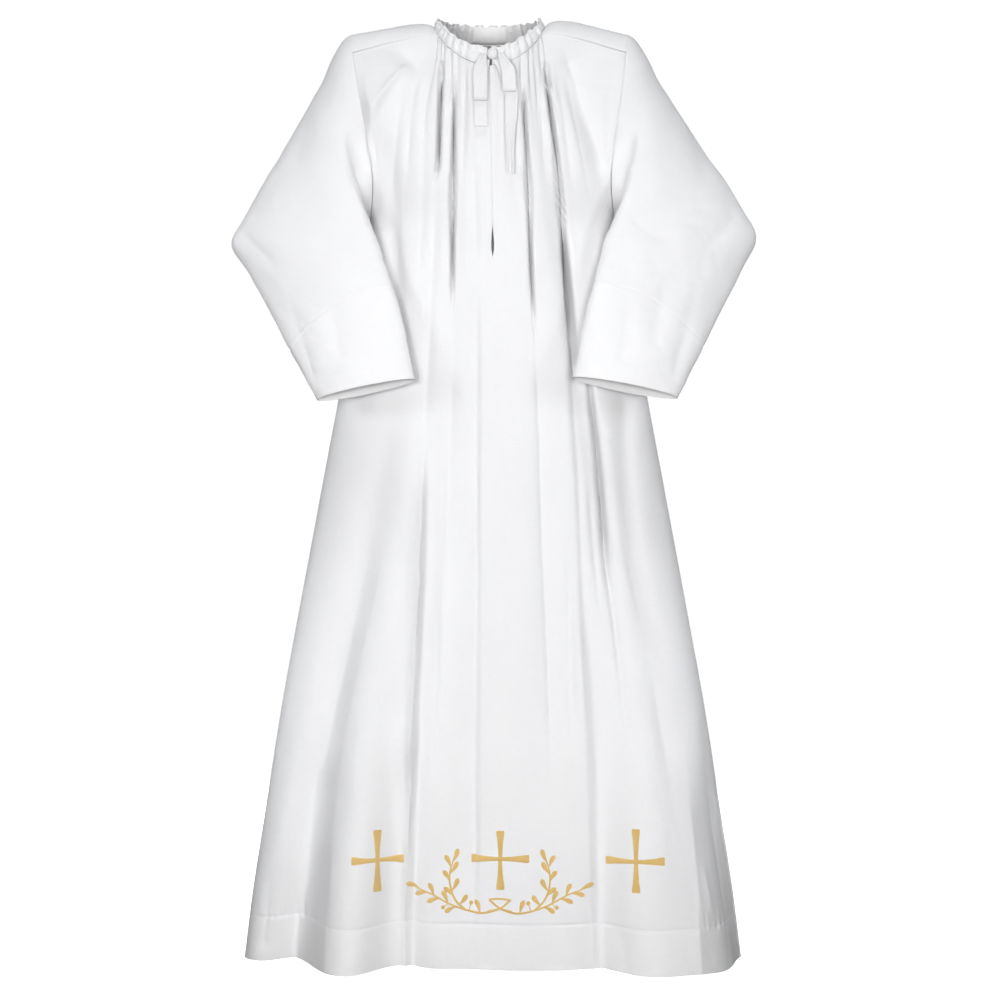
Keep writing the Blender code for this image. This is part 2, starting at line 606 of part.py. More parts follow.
def add_label():
    """The blank label sewn inside the back of the neckband."""
    inset = BAND_CLOTH + 2 * SEAM_GAP
    rows = []
    for rise in LABEL_ROWS:
        row = []
        for angle in np.linspace(180 - LABEL_HALF_ANGLE, 180 + LABEL_HALF_ANGLE, LABEL_COLUMNS):
            point = mix(ring_point(NECK_SEAM, angle, -inset), ring_point(NECK_TOP, angle, -inset), rise)
            row.append(leaned(*point))
        rows.append(row)
    return add_grid("neck_label", rows, label_cloth, LABEL_CLOTH)


def front_face(down):
    """y of the middle of the robe's front at a level, on the neckband or on the panel below it."""
    if down < -NECK_SEAM.front_z:
        rise = (NECK_SEAM.front_z + down) / (NECK_SEAM.front_z - NECK_TOP.front_z)
        return NECK_MIDDLE - mix(NECK_SEAM.radius, NECK_TOP.radius, rise)
    return panel_point(FRONT, 0, (down + NECK_SEAM.front_z) / (ROBE_LENGTH + NECK_SEAM.front_z))[1]


def tape_rows(places):
    """A length of tape: rows of three points, its two edges and its middle."""
    middles = [np.array((p.x, front_face(p.down) - p.off, -p.down)) for p in places]
    lengths = [np.linalg.norm(b - a) for a, b in zip(middles, middles[1:])]
    run = np.concatenate([[0.0], np.cumsum(lengths)])
    found = [run[0]]
    for near, far in zip(run, run[1:]):
        found += [mix(near, far, (step + 1) / TAPE_ROWS_BETWEEN) for step in range(TAPE_ROWS_BETWEEN)]
    rows = []
    for at in found:
        middle = smooth_curve(run, middles, at)
        ahead = smooth_curve(run, middles, min(at + 0.001, run[-1]))
        way = ahead - smooth_curve(run, middles, max(at - 0.001, 0))
        turn = math.radians(smooth_curve(run, [p.turn for p in places], at))
        across = np.array((math.cos(turn), math.sin(turn), 0))
        half = TAPE_WIDTH / 2 * smooth_curve(run, [p.width for p in places], at)
        out = np.cross(across, way)
        out *= -TAPE_CURVE / np.linalg.norm(out)
        row = (middle - across * half, middle + out, middle + across * half)
        rows.append([leaned(*point) for point in row])
    return rows


def add_knot():
    """The bow's knot: a soft, rounded block of tape."""
    mesh = bmesh.new()
    bmesh.ops.create_cube(mesh, size=1)
    data = bpy.data.meshes.new("tie_knot")
    mesh.to_mesh(data)
    mesh.free()
    data.shade_smooth()
    knot = bpy.data.objects.new("tie_knot", data)
    knot.location = leaned(*KNOT_MIDDLE)
    knot.scale = np.array(KNOT_SIZE) * KNOT_SWELL
    knot.data.materials.append(tape_cloth)
    robe.objects.link(knot)
    rounding = knot.modifiers.new("rounding", "SUBSURF")
    rounding.levels = rounding.render_levels = 2


# ---- The robe ---------------------------------------------------------------------------------------
for thing in list(bpy.data.objects):
    bpy.data.objects.remove(thing)

robe = bpy.data.collections.new("alb_robe")
bpy.context.scene.collection.children.link(robe)

white_cloth = cloth_material("white_cloth", (0.86, 0.85, 0.85), 0.85)
tape_cloth = cloth_material("tape_cloth", (0.88, 0.87, 0.87), 0.75)
label_cloth = cloth_material("label_cloth", (0.90, 0.90, 0.89), 0.6)

ARMHOLE_SHARES = [underarm_share() * step for step in (0, 0.07, 0.20, 0.36, 0.54, 0.74, 0.90, 1)]
LOWER_SHARES = [0.265, 0.32, 0.39, 0.48, 0.57, 0.66, 0.75, 0.83, 0.90, 0.953, 1.0]
BODY_SHARES = ARMHOLE_SHARES + [slit_share()] + LOWER_SHARES
FINE_ROWS = 4

add_panel("body_front", FRONT, BODY_SHARES, FINE_ROWS)
add_panel("body_back", BACK, BODY_SHARES, FINE_ROWS)

add_grid("yoke_left", with_lean(yoke_grid(YOKE_RISE_LEFT)), white_cloth, CLOTH)
add_grid("yoke_right", with_lean(mirrored(yoke_grid(YOKE_RISE_RIGHT))), white_cloth, CLOTH)

left_sleeve = sleeve_grid(ARMHOLE_SHARES, LEFT_SHIFTS)
right_sleeve = mirrored(sleeve_grid(ARMHOLE_SHARES, RIGHT_SHIFTS))
add_grid("sleeve_left", with_lean(left_sleeve), white_cloth, CLOTH, closed=True)
add_grid("sleeve_right", with_lean(right_sleeve), white_cloth, CLOTH, closed=True)

add_neckband()
add_label()

for name, places in TIES.items():
    add_grid(name, tape_rows(places), tape_cloth, TAPE_CLOTH)
add_knot()
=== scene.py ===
import math
from collections import namedtuple

import bpy
import numpy as np
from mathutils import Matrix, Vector
from mathutils.bvhtree import BVHTree


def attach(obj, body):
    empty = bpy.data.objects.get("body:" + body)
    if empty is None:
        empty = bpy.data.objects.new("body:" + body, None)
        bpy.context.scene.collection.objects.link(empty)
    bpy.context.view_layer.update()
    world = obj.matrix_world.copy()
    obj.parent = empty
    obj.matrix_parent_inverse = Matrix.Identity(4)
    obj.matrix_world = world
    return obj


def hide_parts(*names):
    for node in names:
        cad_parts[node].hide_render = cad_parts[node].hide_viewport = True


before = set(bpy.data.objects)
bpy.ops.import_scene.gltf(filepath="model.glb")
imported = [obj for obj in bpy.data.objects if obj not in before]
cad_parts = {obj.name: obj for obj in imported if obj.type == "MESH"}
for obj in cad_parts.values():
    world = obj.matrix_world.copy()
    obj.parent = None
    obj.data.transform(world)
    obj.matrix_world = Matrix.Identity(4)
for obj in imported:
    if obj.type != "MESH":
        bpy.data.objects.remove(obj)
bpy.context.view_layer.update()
print("nodes in the frame:", ", ".join(sorted(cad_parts)))

# %% [markdown]
# The camera stands level with the middle of the robe, 3.5 m away, with a long lens, so the hem and the
# shoulders look almost flat on. A shorter lens nearby would make the hem look too wide.
# %% The camera
CAMERA_X, CAMERA_AWAY, CAMERA_Z = 0.0107, 3.5, -0.74
LENS, SENSOR = 82.08, 36.0  # millimetres
scene = bpy.context.scene
camera = bpy.data.objects.new("camera", bpy.data.cameras.new("camera"))
camera.data.lens = LENS
camera.data.sensor_width = SENSOR
camera.location = (CAMERA_X, -CAMERA_AWAY, CAMERA_Z)
camera.rotation_euler = (math.radians(90), 0, 0)
scene.collection.objects.link(camera)
scene.camera = camera
print("the camera sees", round(CAMERA_AWAY * SENSOR / LENS, 3), "m across at the robe")

# %% [markdown]
# The robe's own sizes come first, as in its solids: how long it is, how the neck runs, how wide the
# body is at each level, where the big folds lie, and how the sleeves bend. The finer cloth follows
# the same rules, so it stays on the solids without any fitting.
# %% The robe's sizes
ROBE_LENGTH = 1.44  # top of the shoulders to the hem at the side seams
CLOTH = 0.0008  # the cloth's wall
SEAM_GAP = 0.0002  # how far apart two pieces lie at a seam
SLIT_DEPTH = 0.378  # how far down the front slit ends
# the slit's half width where it is shut and at its foot, and how far the pull on the cloth reaches
SLIT_CLOSED, SLIT_OPEN, SLIT_SPREAD = 0.00005, 0.0019, 0.010
UNDERARM, WAIST = 0.33, 0.40  # how far down they are
GATHER_HEIGHT, GATHER_SWELL = 0.0022, 0.0044  # how far a gather stands out at the seam, and below it
NECK_SHARE = 0.62  # share of a panel's half width that is gathered into the neckband
LEAN = -0.0055  # how far the shoulders sit to one side of the hem's middle
FRONT, BACK = -1, 1

# Angles go round the neck in degrees from the front, towards the wearer's left.
YOKE_START, YOKE_END = 68.0, 112.0
NECK_SLIT = 2.2  # half the slit in the neckband
NECK_MIDDLE = -0.010  # y of the neck's middle
# a ring round the neck: its radius, and how high it lies in front, at the sides and behind
Ring = namedtuple("Ring", "radius front_z side_z back_z")
NECK_SEAM = Ring(radius=0.085, front_z=-0.0904, side_z=-0.017, back_z=-0.0276)
NECK_TOP = Ring(radius=0.077, front_z=-0.0615, side_z=-0.003, back_z=0.002)
BAND_LIFT, BAND_LIFT_MORE = 0.0008, 0.0008  # how far the neckband stands above its seam
# the angles where a row of gathers starts and ends, and how many they are
GATHERS = ((0.0, 68.0, 8), (68.0, 112.0, 3), (112.0, 248.0, 14), (248.0, 292.0, 3), (292.0, 360.0, 8))

# the yoke's end at the armhole: half its depth, its place, and how its corners are tucked in and drop
YOKE_END_HALF, YOKE_END_X, YOKE_END_Z = 0.040, 0.2125, -0.027
YOKE_END_TUCK, YOKE_END_DROP = 0.005, 0.034
YOKE_RISE_LEFT, YOKE_RISE_RIGHT = 0.048, 0.030  # how high each yoke rises near the neck

# down: the level. edge: half the width. The rest is how far the edges and the middles stand out.
Level = namedtuple("Level", "down edge front_edge back_edge front back")
LEVELS = (
    Level(0.00, 0.2120, 0.020, 0.020, 0.064, 0.064),
    Level(0.06, 0.2095, 0.037, 0.037, 0.088, 0.082),
    Level(0.12, 0.2010, 0.060, 0.062, 0.104, 0.102),
    Level(0.20, 0.1870, 0.076, 0.078, 0.117, 0.114),
    Level(0.27, 0.1800, 0.064, 0.064, 0.124, 0.117),
    Level(UNDERARM, 0.1900, 0.000, 0.000, 0.127, 0.115),
    Level(0.45, 0.2125, 0.000, 0.000, 0.126, 0.112),
    Level(0.60, 0.2400, 0.000, 0.000, 0.123, 0.112),
    Level(0.75, 0.2680, 0.000, 0.000, 0.120, 0.114),
    Level(0.90, 0.2960, 0.000, 0.000, 0.118, 0.117),
    Level(1.05, 0.3235, 0.000, 0.000, 0.116, 0.121),
    Level(1.20, 0.3470, 0.000, 0.000, 0.115, 0.125),
    Level(1.35, 0.3700, 0.000, 0.000, 0.114, 0.130),
    Level(ROBE_LENGTH, 0.3810, 0.000, 0.000, 0.114, 0.132),
)
ROUND_FROM, ROUND_BY = 0.20, 0.36  # the levels between which the arch turns into an oval
# how far below its upper edge a panel still has the edge's form, and where its folds and gathers are full
TOP_EFFECT, FOLDS_FROM, SWELL_BY = 0.22, 0.06, 0.02

# top, foot: the levels where a fold ends. at: where it lies, from -1 to 1 across the panel. wide: its
# width. deep: how far it stands out, or sinks in where it is negative.
Fold = namedtuple("Fold", "top foot at_top at_mid at_foot wide_top wide_foot deep_top deep_mid deep_foot")
FRONT_FOLDS = (
    Fold(0.50, 1.50, -0.56, -0.74, -0.82, 0.026, 0.050, -0.002, -0.013, -0.030),
    Fold(0.60, 1.50, -0.50, -0.57, -0.55, 0.030, 0.055, 0.001, 0.010, 0.040),
    Fold(0.48, 1.50, -0.42, -0.40, -0.385, 0.020, 0.030, -0.003, -0.013, -0.052),
    Fold(0.55, 1.05, -0.25, -0.25, -0.24, 0.018, 0.022, -0.001, -0.007, 0.000),
    Fold(0.55, 1.50, -0.09, -0.11, -0.13, 0.022, 0.045, -0.001, -0.008, -0.010),
    Fold(0.45, 1.50, 0.30, 0.30, 0.27, 0.018, 0.028, -0.001, -0.007, -0.002),
    Fold(0.10, 0.86, 0.43, 0.56, 0.60, 0.012, 0.018, -0.003, -0.009, -0.006),
    Fold(0.72, 1.50, 0.60, 0.50, 0.405, 0.020, 0.028, -0.001, -0.010, -0.026),
    Fold(0.65, 1.50, 0.68, 0.67, 0.62, 0.045, 0.070, 0.001, 0.012, 0.046),
    Fold(0.85, 1.50, 0.90, 0.88, 0.86, 0.045, 0.060, 0.000, 0.014, 0.044),
    Fold(0.52, 1.00, 0.87, 0.76, 0.79, 0.018, 0.024, -0.001, -0.008, -0.001),
    Fold(0.04, 0.28, 0.58, 0.78, 0.95, 0.014, 0.014, -0.002, -0.008, -0.003),
    Fold(0.03, 0.19, -0.62, -0.80, -0.93, 0.020, 0.018, -0.003, -0.009, -0.003),
    Fold(0.17, 0.56, -0.93, -0.76, -0.58, 0.014, 0.018, -0.002, -0.008, -0.002),
    Fold(0.12, 0.95, -0.30, -0.27, -0.25, 0.010, 0.016, -0.002, -0.004, -0.001),
)
BACK_FOLDS = (
    Fold(0.50, 1.50, -0.62, -0.70, -0.70, 0.024, 0.034, -0.002, -0.014, -0.040),
    Fold(0.60, 1.50, -0.42, -0.46, -0.50, 0.030, 0.052, 0.001, 0.010, 0.034),
    Fold(0.16, 1.50, -0.22, -0.26, -0.28, 0.018, 0.028, -0.003, -0.011, -0.036),
    Fold(0.70, 1.50, -0.04, -0.04, -0.06, 0.034, 0.058, 0.001, 0.008, 0.024),
    Fold(0.20, 1.50, 0.16, 0.18, 0.20, 0.018, 0.028, -0.003, -0.011, -0.034),
    Fold(0.60, 1.50, 0.38, 0.40, 0.44, 0.030, 0.056, 0.001, 0.010, 0.036),
    Fold(0.46, 1.50, 0.60, 0.64, 0.66, 0.022, 0.032, -0.002, -0.014, -0.038),
    Fold(0.85, 1.50, 0.86, 0.87, 0.87, 0.040, 0.050, 0.000, 0.008, 0.026),
    Fold(0.85, 1.50, -0.88, -0.89, -0.89, 0.040, 0.050, 0.000, 0.008, 0.024),
    Fold(0.04, 0.30, 0.60, 0.78, 0.94, 0.014, 0.016, -0.002, -0.007, -0.002),
    Fold(0.04, 0.30, -0.60, -0.78, -0.94, 0.014, 0.016, -0.002, -0.007, -0.002),
)
HEM_SAG = 0.12  # how much lower the hem hangs for each metre that a fold stands out

# along: metres from the armhole. outer, inner: the sleeve's edges. front, back: how far it bulges.
Station = namedtuple("Station", "along outer inner front back")
SLEEVE = (
    Station(0.080, (0.262, -0.002, -0.105), (0.190, -0.078, -0.306), 0.044, 0.092),
    Station(0.195, (0.325, -0.006, -0.204), (0.175, -0.100, -0.334), 0.042, 0.074),
    Station(0.300, (0.383, -0.012, -0.297), (0.164, -0.112, -0.362), 0.038, 0.058),
    Station(0.350, (0.402, -0.018, -0.338), (0.157, -0.119, -0.388), 0.036, 0.048),
    Station(0.410, (0.380, -0.036, -0.387), (0.149, -0.128, -0.418), 0.034, 0.040),
    Station(0.500, (0.337, -0.072, -0.468), (0.137, -0.141, -0.466), 0.031, 0.034),
    Station(0.580, (0.302, -0.104, -0.535), (0.127, -0.152, -0.515), 0.028, 0.029),
    Station(0.645, (0.273, -0.128, -0.589), (0.118, -0.160, -0.561), 0.025, 0.025),
)
# how far the right sleeve's edges lie further in, and how much lower they hang, at each station
Shift = namedtuple("Shift", "outer_in inner_in lower")
RIGHT_SHIFTS = (
    Shift(0.000, 0.000, 0.004),
    Shift(0.000, 0.000, 0.011),
    Shift(0.001, 0.000, 0.016),
    Shift(0.003, 0.000, 0.011),
    Shift(0.008, 0.002, 0.007),
    Shift(0.010, 0.003, 0.005),
    Shift(0.012, 0.004, 0.004),
    Shift(0.0135, 0.004, 0.003),
)
LEFT_SHIFTS = (Shift(0, 0, 0),) * len(SLEEVE)
CAP_REACH, CAP_DROP = 0.004, 0.35  # how far the sleeve goes straight on from its seam, and its slope
# which way the sleeve sets out from the underarm, in front of it and behind it
UNDER_WAY_FRONT, UNDER_WAY_BACK = (0.75, -0.45, -0.45), (0.85, -0.10, -0.50)
ARMHOLE_STEPS = (0, 0.07, 0.20, 0.36, 0.54, 0.74, 0.90, 1)  # shares of the armhole's height
print("front folds:", len(FRONT_FOLDS), " back folds:", len(BACK_FOLDS))

# %% [markdown]
# A cloth sheet is easiest to control when it is computed, point by point, from a few smooth curves.
# Sculpting would look freer, but every change to a size would have to be sculpted again. All these
# functions take whole arrays of places, so a fine grid takes a moment.
# %% Curves
def mix(a, b, t):
    return a + (b - a) * t


def ease(t):
    """0 up to t = 0, 1 from t = 1, and a smooth step between."""
    t = np.clip(t, 0.0, 1.0)
    return t * t * (3 - 2 * t)


def bell(distance, width):
    """1 at no distance, fading to nearly 0 at twice the width."""
    return np.exp(-((distance / width) ** 2))


def smooth_curve(places, values, at):
    """The values at places on a smooth curve through the given ones."""
    places, values, at = np.asarray(places, float), np.asarray(values, float), np.asarray(at, float)
    slopes = np.gradient(values, places, axis=0)
    k = np.clip(np.searchsorted(places, at) - 1, 0, len(places) - 2)
    width = places[k + 1] - places[k]
    t = np.clip((at - places[k]) / width, 0, 1)
    spare = values.ndim - 1
    t, width = t.reshape(t.shape + (1,) * spare), width.reshape(width.shape + (1,) * spare)
    near = values[k] * (1 + 2 * t) * (1 - t) ** 2 + slopes[k] * width * t * (1 - t) ** 2
    far = values[k + 1] * t * t * (3 - 2 * t) - slopes[k + 1] * width * t * t * (1 - t)
    return near + far


def run_along(points, axis=0):
    """Metres from the start of a line of points to each of them, for every line along that axis."""
    steps = np.linalg.norm(np.diff(points, axis=axis), axis=-1)
    start = np.zeros_like(np.take(steps, [0], axis=axis))
    return np.concatenate([start, np.cumsum(steps, axis=axis)], axis=axis)


def level_at(down):
    """The body's sizes at some levels."""
    sizes = smooth_curve([row.down for row in LEVELS], [row[1:] for row in LEVELS], down)
    edge, front_edge, back_edge, front, back = np.moveaxis(sizes, -1, 0)
    above = np.asarray(down) < UNDERARM
    return edge, front_edge * above, back_edge * above, front, back


def leaned(points):
    """Points moved sideways with the robe's slight lean, which is spent at the waist."""
    points = np.array(points, float)
    points[..., 0] += LEAN * (1 - ease(-points[..., 2] / WAIST))
    return points


def soft_noise(x, y, size, seed):
    """Smooth noise from -1 to 1 with bumps of about that size."""
    lattice = np.random.default_rng(seed).uniform(-1, 1, (97, 97))
    x, y = np.asarray(x) / size + 1000, np.asarray(y) / size + 1000
    column, row = np.floor(x).astype(int), np.floor(y).astype(int)
    across, up = ease(x - column), ease(y - row)
    corners = [lattice[(row + r) % 97, (column + c) % 97] for r in (0, 1) for c in (0, 1)]
    return mix(mix(corners[0], corners[1], across), mix(corners[2], corners[3], across), up)


print("half width at the waist:", round(float(level_at(WAIST)[0]), 3))

# %% [markdown]
# The neck is a ring that is low in front and high behind. The cloth is gathered into it: each gather
# is a small pleat that swells just below the seam and dies away after about a hand's width. Real
# gathers have narrow valleys and round crests, so the crest's shape here is rounder than a plain wave.
# %% The neck and its gathers
def gather_bounds():
    """The angle where each gather starts, going once round the neck, and whether panels share it."""
    bounds = []
    for start, end, count in GATHERS:
        shares = [1 + 0.30 * math.sin(2.3 * i + start) + 0.14 * math.sin(5.1 * i) for i in range(count)]
        steps = np.concatenate([[0.0], np.cumsum(shares)]) / sum(shares)
        on_panel = 0.0 if start in (YOKE_START, 360 - YOKE_END) else 1.0
        bounds += [(start + (end - start) * step, on_panel) for step in steps[:-1]]
    return np.array(bounds + [(360.0, 1.0)])


BOUNDS = gather_bounds()
ROUND_CREST = 0.72  # below 1 the crests are rounder than the valleys


def gather_at(angle):
    """(height of the gather from 0 to about 1, the share of it on the panels, how far down it runs)."""
    angle = np.asarray(angle) % 360
    k = np.clip(np.searchsorted(BOUNDS[:, 0], angle, side="right") - 1, 0, len(BOUNDS) - 2)
    place = (angle - BOUNDS[k, 0]) / (BOUNDS[k + 1, 0] - BOUNDS[k, 0])
    height = 0.8 + 0.35 * np.sin(1.9 * k + 0.6)
    run = 0.11 + 0.05 * np.sin(2.7 * k + 1.1)
    return height * (0.5 - 0.5 * np.cos(2 * np.pi * place)) ** ROUND_CREST, BOUNDS[k, 1], run


def calm(angle):
    """Gathers are low beside the front slit."""
    away = np.minimum(np.asarray(angle) % 360, 360 - np.asarray(angle) % 360)
    return 0.3 + 0.7 * ease((away - 8) / 16)


def ring_point(ring, angle, out=0.0):
    """Points on a ring round the neck, moved outwards."""
    turn = np.radians(angle)
    forward = np.cos(turn)
    z = ring.side_z + (ring.front_z - ring.side_z) * np.clip(forward, 0, None) ** 1.5
    z = z + (ring.back_z - ring.side_z) * np.clip(-forward, 0, None)
    reach = ring.radius + out + 0 * turn
    return np.stack([reach * np.sin(turn), NECK_MIDDLE - reach * forward, z + 0 * reach], -1)


print("gathers round the neck:", len(BOUNDS) - 1)

# %% [markdown]
# The yokes bridge the shoulders from the neckband to the sleeves. The front and back hang from the
# neckband and the yokes. Their section is an arch between the armholes and turns into an oval below
# them, and the folds stand out from it or sink in.
# %% Yokes and panels
def yoke_point(along, across, hump=YOKE_RISE_LEFT):
    """Points on the wearer's left yoke. along: 0 at the neck, 1 at the armhole. across: -1 at the
    front seam, 1 at the back seam. hump: how much it rises near the neck."""
    along, across, hump = np.broadcast_arrays(along, across, hump)
    neck = ring_point(NECK_SEAM, mix(YOKE_START, YOKE_END, (across + 1) / 2))
    drop = YOKE_END_Z - YOKE_END_DROP * np.abs(across) ** 2.4
    armhole = np.stack([YOKE_END_X - YOKE_END_TUCK * across**2, YOKE_END_HALF * across, drop], -1)
    points = mix(neck, armhole, along[..., None])
    points[..., 2] += hump * along**0.6 * (1 - along) ** 1.5 * (1 - 0.55 * across**2)
    return points


def roundness(down):
    return ease((down - ROUND_FROM) / (ROUND_BY - ROUND_FROM))


def form_point(side, u, down):
    """Points of the front or back before its folds, and the way out from them. u: -1 to 1 across."""
    u, down = np.broadcast_arrays(u, down)
    edge, front_edge, back_edge, front, back = level_at(down)
    middle, rim = (front, front_edge) if side == FRONT else (back, back_edge)
    oval = roundness(down)
    turn = u * math.pi / 2
    across = mix(u, np.sin(turn), oval)
    bulge = mix(1 - np.abs(u) ** 2.6, np.cos(turn), oval)
    points = np.stack([edge * across, side * (rim + (middle - rim) * bulge + SEAM_GAP / 2), -down], -1)
    outward = np.stack([across * oval / edge, side * mix(1, bulge, oval) / middle, 0 * down], -1)
    return points, outward / np.linalg.norm(outward, axis=-1, keepdims=True)


def top_point(side, u):
    """A panel's upper edge: along the neck seam, then along the yoke's seam to the armhole."""
    u = np.asarray(u, float)
    turn = YOKE_START * np.minimum(np.abs(u) / NECK_SHARE, 1.0)
    neck = ring_point(NECK_SEAM, turn if side == FRONT else 180 - turn)
    hump = np.where(u > 0, YOKE_RISE_LEFT, YOKE_RISE_RIGHT)
    along = np.clip((np.abs(u) - NECK_SHARE) / (1 - NECK_SHARE), 0, 1)
    yoke = yoke_point(along, float(side), hump)
    points = np.where((np.abs(u) <= NECK_SHARE)[..., None], neck, yoke)
    points[..., 0] *= np.where(u < 0, -1, 1)
    return points


def fold_depth(side, u, down):
    """How far the panel stands out, or in, from all its folds."""
    u, down = np.broadcast_arrays(u, down)
    edge, _, _, front, back = level_at(down)
    middle = front if side == FRONT else back
    oval = roundness(down)
    half_round = mix(edge, 1.11 * np.hypot(edge, middle), oval)
    total = np.zeros(u.shape)
    for fold in FRONT_FOLDS if side == FRONT else BACK_FOLDS:
        way = np.clip((down - fold.top) / (fold.foot - fold.top), 0, 1)
        at = smooth_curve((0, 0.5, 1), (fold.at_top, fold.at_mid, fold.at_foot), way)
        deep = smooth_curve((0, 0.5, 1), (fold.deep_top, fold.deep_mid, fold.deep_foot), way)
        at_u = mix(at, np.arcsin(np.clip(at, -1, 1)) * 2 / math.pi, oval)
        away = (u - at_u) * half_round / mix(fold.wide_top, fold.wide_foot, way)
        ends = ease((down - fold.top) / 0.05) * ease((fold.foot - down) / 0.05)
        total += deep * np.exp(-away * away) * ends
    return total * ease((1 - np.abs(u)) / 0.12)


def panel_upright(side, u, down):
    """Points of the front or back at levels below its upper edge, before its creases and its lean."""
    u, down = np.broadcast_arrays(np.asarray(u, float), down)
    top = top_point(side, u)
    points, outward = form_point(side, u, down)
    below = (down + top[..., 2])[..., None]
    points = points + (top - form_point(side, u, -top[..., 2])[0]) * (1 - ease(below / TOP_EFFECT))
    points += outward * fold_depth(side, u, down)[..., None] * ease(below / FOLDS_FROM)
    angle = YOKE_START * u / NECK_SHARE
    angle = angle if side == FRONT else 180 - angle
    height, on_panel, run = gather_at(angle)
    below = below[..., 0]
    swell = mix(GATHER_HEIGHT, GATHER_SWELL, ease(below / SWELL_BY)) * (1 - ease((below - SWELL_BY) / run))
    stand = height * on_panel * swell * calm(angle) * (np.abs(u) <= NECK_SHARE)
    turn = np.radians(angle)
    return points + np.stack([np.sin(turn), -np.cos(turn), 0 * turn], -1) * stand[..., None]


def panel_at(side, u, down):
    return leaned(panel_upright(side, u, down))


def foot_at(side, u):
    """How far down the hem hangs."""
    return ROBE_LENGTH + HEM_SAG * fold_depth(side, u, ROBE_LENGTH)


def underarm_share():
    """The share of a panel's height where the armhole ends."""
    top = top_point(FRONT, 1.0)[2]
    return (UNDERARM + top) / (ROBE_LENGTH + top)


hem = foot_at(FRONT, np.linspace(-1, 1, 99))
print("the hem hangs from", round(float(hem.min()), 4), "to", round(float(hem.max()), 4))

